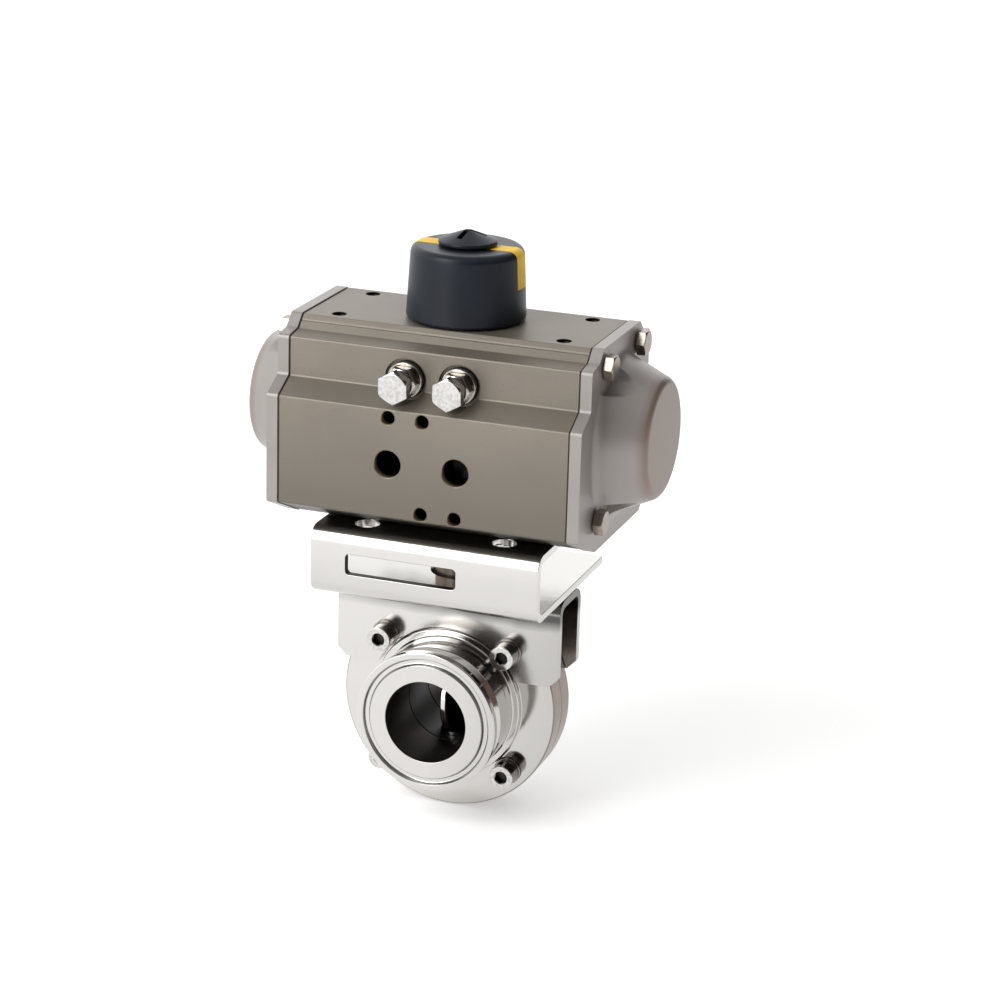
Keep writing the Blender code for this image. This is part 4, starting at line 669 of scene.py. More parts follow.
def anodised(colour):
    """Blasted and anodised extrusion with faint lines along it, with painted shade towards its
    underside.
    """
    made = Finish("anodised housing", 0.42, 0.55)
    cloud = made.noise(0.03, 3.0)
    grain = made.noise(6.0, 2.0)
    drawn = made.noise(1.0, 3.0, (0.02, 2.6, 2.6))
    pits = made.ramp(made.noise(1.6, 1.0), 0.70, 0.78)
    base = made.blend(made.ramp(cloud, 0.35, 0.65), shade_of(colour, 0.94), shade_of(colour, 1.07))
    base = made.blend(pits * 0.45, base, shade_of(colour, 0.35))
    height = made.along("Z")
    # Painted shade: darker towards the bottom of the front, nearly black on the underside
    base = made.blend(made.ramp(height, 112.0, 78.0), base, shade_of(colour, 0.72))
    base = made.blend(made.ramp(height, 76.0, 72.0), base, shade_of(colour, 0.18))
    made.set(Base_Color=base, Roughness=0.34 + 0.14 * grain + 0.06 * drawn)
    fine = made.relief(grain, 0.03, 0.6)
    made.set(Normal=made.relief(drawn, 0.012, 0.4, fine))


def tapped_hole(front):
    """Threaded hole: bare metal behind the front face, painted shade further in."""
    made = Finish("tapped hole", 0.3, 0.8)
    grain = made.noise(4.0, 2.0)
    # Painted shade: near black deeper in the hole
    made.set(Base_Color=made.blend(made.ramp(made.along("Y"), front + 0.4, front + 3.2),
                                   (0.30, 0.235, 0.16), (0.006, 0.005, 0.005)),
             Roughness=0.25 + 0.2 * grain, Normal=made.relief(grain, 0.01, 0.4))


def painted(colour):
    """Die-cast cap under a satin coat with a fine orange peel, its end face in painted shade."""
    made = Finish("painted cap", 0.38, 0.35)
    peel = made.noise(1.3, 2.0)
    grain = made.noise(7.0, 1.0)
    cloud = made.ramp(made.noise(0.05, 2.0), 0.3, 0.7)
    base = made.blend(cloud, shade_of(colour, 0.95), shade_of(colour, 1.05))
    # Painted shade: each cap's end face is darker and browner than its cone
    end = made.ramp(made.along("X") * made.along("X"), *(x * x for x in CAP_FACE_SHADE_X))
    base = made.blend(end, base, (0.245, 0.192, 0.168))
    made.set(Base_Color=base, Roughness=0.31 + 0.12 * grain)
    made.set(Normal=made.relief(peel, 0.05, 0.35, made.relief(grain, 0.01, 0.3)))


def sheet_steel(name, colour, low, high, shade_at_foot, shade_at_right, shadow_at_top=1.0):
    """Cold-rolled stainless sheet, a soft mirror with fine rolling lines, in painted shade towards
    its foot and right end, with a painted shadow just under its top.
    """
    made = Finish(name, 0.2, 1.0)
    lines = made.noise(1.0, 4.0, (0.03, 6.0, 6.0))
    cloud = made.noise(0.06, 3.0)
    base = made.blend(cloud, shade_of(colour, 0.97), shade_of(colour, 1.03))
    # Painted shade: darker towards the foot and towards the right end
    base = made.blend(made.ramp(made.along("Z"), high.z - 4, low.z), base,
                      shade_of(colour, shade_at_foot))
    base = made.blend(made.ramp(made.along("X"), low.x * 0.3, high.x), base,
                      shade_of(colour, shade_at_right))
    # Painted shadow: a dark band just below the top, under the frame, lighter to the left
    painted_shadow = made.ramp(made.along("Z") + 3.0 * cloud, high.z - 9.5, high.z - 5.5)
    painted_shadow *= made.ramp(made.along("X"), low.x, high.x * 0.3, 0.35, 1.0)
    base = made.blend(painted_shadow, base, shade_of(colour, shadow_at_top))
    made.set(Base_Color=base, Roughness=0.10 + 0.09 * lines + 0.06 * cloud)
    made.set(Normal=made.relief(lines, 0.002, 0.5, made.relief(cloud, 0.5, 0.2)))


def turned_steel(name, colour, axis, centre=(0, 0, 0), roughness=0.13, bore=0.0, rim=1e3,
                 groove=-9.0):
    """Turned stainless steel with rings about an axis, rougher in a bore and on a rim; painted
    shade towards +X, in the bore, on the gasket groove's sides and on the rim, which also has a
    brown painted reflection.
    """
    made = Finish(name, roughness, 1.0)
    away = made.away(axis, centre)
    rings = made.rings(axis, away, 5.0, 3.0)
    cloud = made.noise(0.12, 2.0)
    base = made.blend(cloud, shade_of(colour, 0.96), shade_of(colour, 1.03))
    # Painted shade: darker towards +X
    base = made.blend(made.ramp(made.along("X"), 0.0, 38.0), base, shade_of(colour, 0.80))
    # Painted shade inside the bore, which is also rougher
    in_bore = made.ramp(away, bore + 0.25, bore + 0.1)
    base = made.blend(in_bore, base, (0.05, 0.037, 0.032))
    # Painted shadow on the sides of the gasket groove
    off_groove = (away - groove) * (away - groove)
    sides = made.ramp(off_groove, 0.3, 0.8) * made.ramp(off_groove, 2.2, 1.4, 0.0, 0.7)
    on_face = made.ramp(made.along("Y") * made.along("Y"), *(y * y for y in FERRULE_FACE_Y))
    base = made.blend(sides * on_face, base, shade_of(colour, 0.3))
    # Painted shade and brown painted reflection on the flange's rim, which is also rougher
    on_rim = made.ramp(away, rim - 0.5, rim - 0.3)
    base = made.blend(on_rim, base, (0.25, 0.205, 0.175))
    made.set(Base_Color=base, Roughness=roughness + 0.05 * rings + 0.04 * cloud + 0.15 * on_rim
             + 0.3 * in_bore)
    made.set(Normal=made.relief(rings, 0.003, 0.5))


def polished_disc(colour):
    """Polished disc: bright edge and stem, faces painted near black as the shade of the dark bore.
    """
    made = Finish("polished disc", 0.1, 1.0, Specular_Tint=(0.1, 0.1, 0.1, 1))
    cloud = made.noise(0.2, 2.0)
    across = made.along("X")
    inside = made.ramp(made.away("X", (0, 0, 0)), *DISC_RIM)
    # Painted shade: the disc's faces go near black
    face = made.ramp(across * across, 0.9, 2.0) * inside
    made.set(Base_Color=made.blend(face, shade_of(colour, 1.05), (0.008, 0.007, 0.008)),
             Roughness=0.08 + 0.1 * cloud)


def bright_steel(name, colour, roughness):
    """Polished fastener steel with small dents."""
    made = Finish(name, roughness, 1.0)
    dents = made.noise(0.9, 2.0)
    grain = made.noise(5.0, 2.0)
    made.set(Base_Color=made.blend(made.ramp(dents, 0.35, 0.6), shade_of(colour, 0.78),
                                   shade_of(colour, 0.99)),
             Roughness=roughness + 0.10 * grain)
    made.set(Normal=made.relief(dents, 0.02, 0.35, made.relief(grain, 0.003, 0.4)))


def moulded(name, colour, roughness, speckle=0.03, gloss=0.38):
    """Moulded plastic or rubber with a fine eroded texture."""
    made = Finish(name, roughness, 0.0, Specular_IOR_Level=gloss)
    texture = made.noise(3.2, 2.0)
    cloud = made.noise(0.08, 2.0)
    made.set(Base_Color=made.blend(made.ramp(cloud, 0.3, 0.7), shade_of(colour, 0.9),
                                   shade_of(colour, 1.15)),
             Roughness=roughness - 0.06 + 0.12 * texture)
    made.set(Normal=made.relief(texture, speckle, 0.4))


# Operators: one for each piece or group of like pieces


class VALVE_OT_finishes(bpy.types.Operator):
    """Mix every finish and put it on the CAD pieces that stay as they are"""
    bl_idname = "valve.finishes"
    bl_label = "Finishes"

    def execute(self, context):
        tints = context.scene.finish_colours
        axis_z = context.scene.actuator_sizes.axis_z / MM
        steel = tuple(tints.steel)
        anodised(tuple(tints.housing))
        tapped_hole(node_box("actuator_body")[0].y)
        painted(tuple(tints.cap))
        # The last numbers set the painted shade at each sheet's foot and right end, and the
        # saddle's painted shadow under the frame
        sheet_steel("frame steel", steel, *node_box("bracket_frame"), 0.86, 0.93)
        sheet_steel("saddle steel", steel, *node_box("bracket_saddle"), 0.98, 0.72, 0.15)
        bright_steel("bright steel", steel, 0.08)
        bright_steel("nut steel", (0.46, 0.43, 0.39), 0.1)
        bright_steel("dull screw steel", (0.33, 0.285, 0.24), 0.24)
        # Darker copy of the steel: painted shade on the body screws and their washers
        bright_steel("shaded screw steel", (0.30, 0.275, 0.26), 0.06)
        # Near-black steel: painted shade in the screws' sockets and on the frame window's cut faces
        bright_steel("painted-shade steel", (0.045, 0.04, 0.036), 0.3)
        turned_steel("turned valve steel", steel, "Y", roughness=0.06, bore=14.6, rim=38.9,
                     groove=context.scene.valve_sizes.gasket_r / MM)
        polished_disc(steel)
        turned_steel("turned shaft steel", shade_of(steel, 0.9), "Z", roughness=0.22)
        turned_steel("dark turned steel", (0.27, 0.225, 0.19), "Z", roughness=0.36)
        turned_steel("machined piston", (0.66, 0.66, 0.65), "X", (0, 0, axis_z), 0.3)
        moulded("black plastic", tuple(tints.plastic), 0.36, 0.02, 0.24)
        moulded("stripe plastic", tuple(tints.stripe), 0.42, 0.02, 0.10)
        moulded("black rubber", tuple(tints.rubber), 0.55, 0.02, 0.2)
        moulded("gasket rubber", (0.10, 0.09, 0.08), 0.6, 0.02, 0.2)
        moulded("white acetal", (0.80, 0.79, 0.74), 0.42, 0.01)
        moulded("seat rubber", (0.014, 0.013, 0.013), 0.45, 0.01)
        stays = {"black rubber": ("piston_seal_left", "piston_seal_right", "shaft_seal_bottom",
                                  "shaft_seal_top"),
                 "machined piston": ("piston_left", "piston_right"),
                 "turned shaft steel": ("pinion", "stop_cam"),
                 "bright steel": ("snap_ring",),
                 "white acetal": ("pinion_bush_bottom", "pinion_bush_top", "pinion_washer",
                                  "stem_bush")}
        for finish, nodes in stays.items():
            for node in nodes:
                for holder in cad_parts[node].material_slots:
                    holder.material = bpy.data.materials[finish]
        return {"FINISHED"}


class VALVE_OT_housing(bpy.types.Operator):
    """Model the actuator's extruded housing with its bores, ports and tapped holes"""
    bl_idname = "valve.housing"
    bl_label = "Housing"

    def execute(self, context):
        size = in_millimetres(context.scene.actuator_sizes)
        low, high = node_box("actuator_body")
        axis_z, front = size.axis_z, low.y
        piece = slab("housing", HOUSING_SECTION, low.x - 0.3, high.x + 0.3, "X", (0, axis_z))
        coat(soften(piece, 0.3, 2, 60), "anodised housing")
        cut(piece, rod(size.bore_r, low.x - 1, high.x + 1, "X", (0, axis_z), 96),
            self.shaft_bore(axis_z))
        seat = node_box("stop_seal_left")[1].y + 0.3
        for side, _ in SIDES:
            cut(piece, lathe("spot", [(0, -45), (size.spot_r, -45), (size.spot_r, seat),
                                      (3.6, seat), (3.3, seat + 0.3), (3.3, -9), (0, -9)],
                             "Y", middle("stop_screw_" + side).xz, 64))
        port_z = axis_z - size.port_drop
        for side, sign in SIDES:
            depth = -13.0 if sign < 0 else -28.9
            port = tapped(size.port_r, front, depth, "Y", (sign * size.port_half, port_z), 0.907)
            cut(piece, coat(port, "tapped hole"))
        rise = size.pad_screw_rise
        pad = [(-size.port_half, rise), (0, rise), (0, -rise), (size.port_half, -rise)]
        holes = [tapped(size.tapped_r, front, front + 8, "Y", (x, port_z + z)) for x, z in pad]
        holes += [tapped(size.tapped_r, high.z, high.z - 8, "Z",
                         (a * size.top_hole_x, b * size.top_hole_y))
                  for a in (-1, 1) for b in (-1, 1)]
        cut(piece, coat(joined(holes), "tapped hole"))
        holes = []
        for end in CORNERS:
            centre = middle("cap_screw_left_" + end).yz
            holes += [rod(SCREW_HOLE_R, sign * (high.x + 1), sign * (high.x - 13), "X", centre, 24)
                      for sign in (-1, 1)]
        for bolt in FOOT_BOLTS:
            holes.append(rod(FOOT_HOLE_R, low.z - 1, node_box(bolt)[1].z + 0.6, "Z",
                             middle(bolt).xy, 24))
        cut(piece, joined(holes))
        smooth(piece, 30)
        hand_over(piece, "anodised housing", "anodised_body", "housing", "actuator_body")
        return {"FINISHED"}

    @staticmethod
    def shaft_bore(axis_z):
        """Bore for the pinion with its bush seats."""
        lower = lathe("bore", [(0, -36), (13.2, -36), (13.2, -30.2), (11.9, -30.2), (11.9, -13),
                               (0, -13)], steps=64)
        upper = lathe("bore", [(0, 13), (13.0, 13), (13.0, 26), (10.3, 26), (10.3, 30.8),
                               (8.3, 30.8), (8.3, 36), (0, 36)], steps=64)
        return settled(joined([lower, upper]), (0, 0, axis_z))


class VALVE_OT_end_caps(bpy.types.Operator):
    """Model both end caps and their hexagon screws"""
    bl_idname = "valve.end_caps"
    bl_label = "End caps"

    def execute(self, context):
        size = in_millimetres(context.scene.actuator_sizes)
        low, high = node_box("end_cap_right")
        axis_z = size.axis_z
        base, face = low.x + size.cap_flange_t, high.x
        right = lathe("end_cap_right_shell", [
            (0, face), (size.cap_face_r, face, 3.2), (size.cap_cone_r - 0.6, base, 4.5),
            (60, base), (60, low.x - 0.3), (0, low.x - 0.3)], "X", (0, axis_z), 128)
        common(right, slab("outline", CAP_OUTLINE, low.x - 1, face + 1, "X", (0, axis_z)))
        upper = middle("cap_screw_right_top_rear")
        ceiling = middle("cap_screw_right_bottom_rear").z + 4.5
        for side in (-1, 1):
            cut(right, rod(size.cap_pocket_r, base, face + 2, "X", (side * upper.y, upper.z), 72))
            pocket = [(9.2, 60.0), (46.0, 60.0), (46.0, ceiling), (9.2, ceiling, 2.0)]
            cut(right, slab("pocket", [(side * y, *rest) for y, *rest in pocket], base, face + 2,
                            "X"))
        soften(right, size.cap_rim, 3, 35)
        cut(right, rod(18.6, low.x - 1, face - 2.8, "X", (0, axis_z), 72))
        holes = []
        for end in CORNERS:
            holes.append(rod(SCREW_HOLE_R, low.x - 1, base + 1, "X",
                             middle("cap_screw_right_" + end).yz, 32))
        cut(right, joined(holes))
        smooth(right, 35)
        left = copied(right, "end_cap_left_shell", mirrored=True)
        smooth(left, 35)
        for side, piece in (("left", left), ("right", right)):
            hand_over(piece, "painted cap", "cast_cap", "housing", "end_cap_" + side)
        self.screws(base)
        for side, _ in SIDES:
            low, high = node_box("cap_gasket_" + side)
            gasket = slab(f"cap_gasket_{side}_thin", GASKET_OUTLINE, low.x, high.x, "X",
                          (0, axis_z))
            cut(gasket, rod(size.bore_r, low.x - 1, high.x + 1, "X", (0, axis_z), 96))
            smooth(gasket, 30)
            hand_over(gasket, "gasket rubber", "black_rubber", "housing", "cap_gasket_" + side)
        return {"FINISHED"}

    @staticmethod
    def screws(base):
        """Eight screws, each in its node's place."""
        source = smooth(hex_bolt("screw", "X", 8.0, 3.5, 2.5, 18.5, 0.8), 22)
        for side, sign in SIDES:
            for end in CORNERS:
                node = f"cap_screw_{side}_{end}"
                centre = middle(node)
                shift = (sign * (base + 0.3), centre.y, centre.z)
                piece = copied(source, node + "_hex", shift, half_turn=sign < 0)
                hand_over(piece, "dull screw steel", "bright_steel", "housing", node)
        bpy.data.objects.remove(source)


class VALVE_OT_stop_screws(bpy.types.Operator):
    """Model both stop screws with their locknuts, washers and sealing rings"""
    bl_idname = "valve.stop_screws"
    bl_label = "Stop screws"

    def execute(self, context):
        seal, washer, nut, screw = (node_box(f"stop_{part}_left") for part in (
            "seal", "washer", "nut", "screw"))
        sources = (
            ("stop_seal", self.band(6.3, 0.2, *seal, 0.6), "black rubber", "black_rubber"),
            ("stop_washer", self.band(6.2, 0.35, washer[0], washer[1] + Vector((0, 0.6, 0))),
             "nut steel", "bright_steel"),
            ("stop_nut", self.nut(*nut), "nut steel", "bright_steel"),
            ("stop_screw", self.screw(*screw), "bright steel", "bright_steel"))
        for stem, source, finish, slot in sources:
            smooth(source, 22)
            for side, _ in SIDES:
                node = f"{stem}_{side}"
                centre = middle(node)
                piece = copied(source, node + "_fine", (centre.x, 0, centre.z))
                hand_over(piece, finish, slot, "housing", node)
            bpy.data.objects.remove(source)
        return {"FINISHED"}

    @staticmethod
    def band(radius, edge, low, high, sunk=0.0):
        """Flat ring with eased edges, its front perhaps sunk."""
        front = low.y + sunk
        return lathe("ring", [(3.3, front, 0.1), (radius, front, edge), (radius, high.y, edge),
                              (3.3, high.y, 0.1)], "Y", steps=72, ring=True)

    @staticmethod
    def nut(low, high):
        """Locknut chamfered on both faces."""
        nut = hex_head("nut", 10.0, high.y - low.y, "Y")
        cut(nut, lathe("hole", [(0, -1), (4.3, -1), (3.3, 0.5), (3.3, 4.0), (4.3, 5.5), (0, 5.5)],
                       "Y", steps=48))
        return settled(nut, (0, low.y, 0))

    @staticmethod
    def screw(low, high):
        """Hexagon screw whose head points to the front."""
        screw = hex_bolt("screw", "Y", 10.0, 4.0, 3.0, high.y - low.y - 4.0, 1.0, TURN / 12)
        return settled(screw, (0, low.y + 4.0, 0), half_turn=True)


class VALVE_OT_indicator(bpy.types.Operator):
    """Model the position indicator: cap, stripe and knob"""
    bl_idname = "valve.indicator"
    bl_label = "Position indicator"

    def execute(self, context):
        size = in_millimetres(context.scene.indicator_sizes)
        low, high = node_box("indicator_cap")
        base, top = low.z, high.z
        skin = [(size.base_r, base, 1.1), (size.top_r, top, size.edge_r), (0, top)]
        cap = lathe("indicator_dome", [
            (0, top - 11.2), (9.4, top - 11.2, 0.4), (9.4, top - 2.2, 0.4),
            (size.top_r - 2.2, top - 2.2, 1.5), (size.base_r - 2.2, base, 0.3)] + skin, steps=160)
        cut(cap, slab("key", self.key(6.8, 5.3), top - 12, 156.4), rod(2.6, 150, top + 1, steps=32))
        cut(cap, self.strap(size, base, top, 0.25, 1.0, 1.15))
        smooth(soften(cap, 0.2, 2, 45), 30)
        hand_over(cap, "black plastic", "black_plastic", "shaft", "indicator_cap")
        stripe = self.strap(size, base, top, 0.0, 0.1, 0.9)
        stripe.name = stripe.data.name = "indicator_strap"
        cut(stripe, rod(2.6, 150, top + 1, steps=32))
        smooth(soften(stripe, 0.15, 2, 45), 30)
        hand_over(stripe, "stripe plastic", "yellow_plastic", "shaft", "indicator_stripe")
        self.knob(size, top)
        return {"FINISHED"}

    @staticmethod
    def key(radius, flat):
        """Round outline with two flats."""
        reach = math.acos(flat / radius)
        steps = 16
        points = []
        for start in (reach, reach + math.pi):
            for i in range(steps + 1):
                angle = start + (math.pi - 2 * reach) * i / steps
                points.append((radius * math.cos(angle), radius * math.sin(angle)))
        return points

    @staticmethod
    def strap(size, base, top, room, proud, deep):
        """Band that lies in the cap's skin, over the top and down both sides."""
        lean = (size.base_r - size.top_r) / (top - base)

        def skin(offset):
            side_r = size.top_r + lean * (size.stripe_drop + room) + offset
            return [(side_r, top - size.stripe_drop - room),
                    (size.top_r + offset, top + offset, size.edge_r + offset), (0, top + offset)]

        shell = lathe("strap", skin(-deep)[::-1] + skin(proud), steps=160)
        half = size.stripe_w / 2 + room
        band = slab("band", [(-30, -half), (30, -half), (30, half), (-30, half)], base, top + 2)
        return common(shell, band)

    @staticmethod
    def knob(size, top):
        """Low conical screw with three slots that meet near its tip."""
        low, high = node_box("indicator_knob")
        under = top + 0.4
        knob = lathe("indicator_screw", [
            (0, low.z), (2.3, low.z, 0.4), (2.3, under - 0.2), (size.knob_r - 1.6, under - 0.2),
            (size.knob_r - 1.6, under + 0.1), (size.knob_r, under + 0.1, 0.4),
            (size.knob_r, under + 1.3, 0.6), (0.9, high.z, 1.2), (0, high.z)], steps=96)
        slots = []
        for degrees in (20, 140, 260):
            turn = Matrix.Rotation(math.radians(degrees), 2)
            outline = [turn @ Vector(corner) for corner in (
                (0.6, -0.95), (6.2, -0.95), (6.2, 0.95), (0.6, 0.95))]
            slots.append(slab("slot", [tuple(corner) for corner in outline], under + 1.9,
                              high.z + 1))
        cut(knob, joined(slots))
        smooth(soften(knob, 0.12, 2, 40), 30)
        hand_over(knob, "black plastic", "black_plastic", "shaft", "indicator_knob")


class VALVE_OT_bracket(bpy.types.Operator):
    """Model the frame and the saddle, bent from stainless sheet"""
    bl_idname = "valve.bracket"
    bl_label = "Bracket"

    def execute(self, context):
        size = in_millimetres(context.scene.bracket_sizes)
        self.frame_channel(size)
        self.saddle(size, context.scene.valve_sizes.screw_half / MM)
        return {"FINISHED"}

    @staticmethod
    def frame_channel(size):
        """Channel open at the rear, with a window in its front wall."""
        low, high = node_box("bracket_frame")
        bend, t = size.frame_bend, size.sheet
        section = [(high.y, high.z), (low.y, high.z, bend), (low.y, low.z, bend),
                   (high.y, low.z), (high.y, low.z + t), (low.y + t, low.z + t, bend - t),
                   (low.y + t, high.z - t, bend - t), (high.y, high.z - t)]
        piece = coat(slab("frame_channel", section, low.x, high.x, "X"), "frame steel")
        left, sill = -size.window_left, low.z + 8.6
        window = [(left, sill, 1.4), (left + size.window_w, sill, 1.4),
                  (left + size.window_w, sill + size.window_h, 1.4),
                  (left, sill + size.window_h, 1.4)]
        # The window's cut faces are painted near black as shade
        cut(piece, coat(slab("window", window, low.y - 2, low.y + t + 2, "Y"), "painted-shade steel"))
        mid = (low.z + high.z) / 2
        holes = [rod(size.shaft_hole_r, low.z - 1, mid, steps=96),
                 rod(11.6, mid + 1, high.z + 1, steps=96)]
        for a in (-1, 1):
            for b in (-1, 1):
                holes += [rod(FOOT_HOLE_R, mid, high.z + 1, centre=(a * 17.68, b * 17.68)),
                          rod(4.3, mid, high.z + 1, centre=(a * 24.75, b * 24.75))]
        cut(piece, joined(holes))
        smooth(soften(piece, 0.3, 3, 50), 30)
        hand_over(piece, "frame steel", "satin_steel", "housing", "bracket_frame")

    @staticmethod
    def saddle(size, screw_half):
        """Bent plate that straddles the valve's flange."""
        low, high = node_box("bracket_saddle")
        bend, t, half = size.saddle_bend, size.sheet, size.saddle_half
        out, inner = high.y, high.y - t
        section = [(out, low.z), (out, high.z, bend), (-out, high.z, bend), (-out, low.z),
                   (-inner, low.z), (-inner, high.z - t, bend - t), (inner, high.z - t, bend - t),
                   (inner, low.z)]
        piece = slab("saddle_plate", section, -half, half, "X")
        corner = 3.3
        silhouette = [(-half - 1, high.z + 1), (-half - 1, low.z + corner + 1),
                      (-half + corner, low.z), (half - corner, low.z),
                      (half + 1, low.z + corner + 1), (half + 1, high.z + 1)]
        common(piece, slab("legs", silhouette, -out - 1, out + 1, "Y"))
        cut(piece, rod(size.notch_r, -out - 1, out + 1, "Y", steps=128),
            rod(size.shaft_hole_r, high.z - 6, high.z + 1, steps=96),
            joined([rod(SCREW_HOLE_R, -out - 1, out + 1, "Y", (side * screw_half, screw_half))
                    for side in (-1, 1)]))
        smooth(soften(piece, 0.3, 3, 50), 30)
        hand_over(piece, "saddle steel", "satin_steel", "housing", "bracket_saddle")


class VALVE_OT_foot_bolts(bpy.types.Operator):
    """Model the four flanged bolts that hold the frame to the actuator"""
    bl_idname = "valve.foot_bolts"
    bl_label = "Foot bolts"

    def execute(self, context):
        low, high = node_box(FOOT_BOLTS[0])
        head = settled(hex_head("bolt", 10.0, 4.0, "Z"), (0, 0, low.z))
        foot = low.z + 4.0
        shank = lathe("shank", [(0, foot - 1), (4.6, foot - 1), (4.8, foot - 0.2, 0.3),
                                (6.2, foot + 0.2, 0.3), (6.2, foot + 1.2, 0.15), (3.0, foot + 1.2)]
                      + thread(3.0, foot + 1.6, high.z - 0.6, 1.0, 0.45)
                      + [(2.5, high.z), (0, high.z)], steps=48)
        source = smooth(welded(fuse(welded(soften(head, 0.12, 2, 25)), shank)), 22)
        drawn_at = middle(FOOT_BOLTS[0]).z
        for node in FOOT_BOLTS:
            place = middle(node)
            piece = copied(source, node + "_hex", (place.x, place.y, place.z - drawn_at))
            hand_over(piece, "bright steel", "bright_steel", "housing", node)
        bpy.data.objects.remove(source)
        return {"FINISHED"}


class VALVE_OT_coupling(bpy.types.Operator):
    """Model the coupling between the disc's stem and the pinion"""
    bl_idname = "valve.coupling"
    bl_label = "Shaft coupling"

    def execute(self, context):
        low, high = node_box("stem_coupling")
        shoulder = 66.8
        piece = lathe("coupling_barrel", [
            (0, low.z), (8.5, low.z, 0.6), (8.5, shoulder, 0.6), (0, shoulder)], steps=96)
        tenon = slab("tenon", [(5.2, -5.2, 0.6), (5.2, 5.2, 0.6), (-5.2, 5.2, 0.6),
                               (-5.2, -5.2, 0.6)], shoulder - 1, high.z)
        fuse(piece, tenon)
        cut(piece, slab("socket", [(3.76, -3.76), (3.76, 3.76), (-3.76, 3.76), (-3.76, -3.76)],
                        low.z - 1, low.z + 12.6))
        smooth(soften(piece, 0.25, 2, 50), 30)
        hand_over(piece, "dark turned steel", "satin_steel", "shaft", "stem_coupling")
        return {"FINISHED"}


class VALVE_OT_valve_halves(bpy.types.Operator):
    """Model the two halves of the valve body with their clamp ferrules"""
    bl_idname = "valve.valve_halves"
    bl_label = "Valve body"

    def execute(self, context):
        size = in_millimetres(context.scene.valve_sizes)
        face, rim, neck, step = size.face_y, size.ferrule_r, size.neck_r, size.step_r
        for name, sign in (("front", -1), ("rear", 1)):
            profile = [
                (size.bore_r, 9.3, 0.1), (size.bore_r, face, 0.45),
                (size.gasket_r - 1.2, face, 0.25), (size.gasket_r - 0.75, face - 1.2, 0.45),
                (size.gasket_r + 0.75, face - 1.2, 0.45), (size.gasket_r + 1.2, face, 0.25),
                (rim, face, 0.5), (rim, 27.95, 0.35), (21.7, 26.66, 0.3), (21.7, 25.46, 1.0),
                (neck, 22.66, 0.6), (neck, size.step_y, 0.5), (step, size.step_y, 0.45),
                (step, size.flange_y, 0.35), (size.flange_r, size.flange_y, 0.6),
                (size.flange_r, 0.15, 0.3), (24.3, 0.15), (24.3, 3.3), (19.3, 3.3), (19.3, 9.3)]
            piece = lathe("valve_half_" + name, [(r, sign * y, *ease) for r, y, *ease in profile],
                          "Y", steps=160, ring=True)
            half = size.screw_half
            holes = [rod(SCREW_HOLE_R, sign * -1, sign * 9, "Y", (a * half, b * half), 40)
                     for a in (-1, 1) for b in (-1, 1)]
            holes += [rod(7.0, 14.5, 44, steps=48), rod(5.3, -32, -14.5, steps=48)]
            for hole in holes:
                cut(piece, hole)
            smooth(piece, 30)
            hand_over(piece, "turned valve steel", "bright_steel", "housing", "valve_body_" + name)
        return {"FINISHED"}


class VALVE_OT_seat_and_disc(bpy.types.Operator):
    """Model the elastomer seat and the polished disc with its stem"""
    bl_idname = "valve.seat_and_disc"
    bl_label = "Seat and disc"

    def execute(self, context):
        size = in_millimetres(context.scene.valve_sizes)
        seat = lathe("seat_ring", [
            (size.bore_r, -9.0, 0.5), (19.0, -9.0, 0.3), (19.0, -3.0, 0.2), (24.0, -3.0, 0.4),
            (24.0, 3.0, 0.4), (19.0, 3.0, 0.2), (19.0, 9.0, 0.3), (size.bore_r, 9.0, 0.5)],
            "Y", steps=128, ring=True)
        cut(seat, rod(5.3, -26, 26, steps=48))
        smooth(seat, 30)
        hand_over(seat, "seat rubber", "black_rubber", "housing", "valve_seat")
        low, high = node_box("valve_disc")
        edge = size.disc_r
        disc = lathe("disc_plate", [
            (0, -4.0), (3.0, -4.0, 3.0), (edge - 1.5, -1.5, 1.0), (edge, -0.9, 0.5),
            (edge, 0.9, 0.5), (edge - 1.5, 1.5, 1.0), (3.0, 4.0, 3.0), (0, 4.0)], "X", steps=128)
        stem = lathe("stem", [(0, low.z), (size.stem_r, low.z, 0.6), (size.stem_r, 39.2, 0.4),
                              (0, 39.2)], steps=64)
        tang = slab("tang", [(3.46, -3.46, 0.5), (3.46, 3.46, 0.5), (-3.46, 3.46, 0.5),
                             (-3.46, -3.46, 0.5)], 38.5, high.z)
        fuse(disc, stem, tang)
        smooth(disc, 30)
        hand_over(disc, "polished disc", "bright_steel", "shaft", "valve_disc")
        return {"FINISHED"}


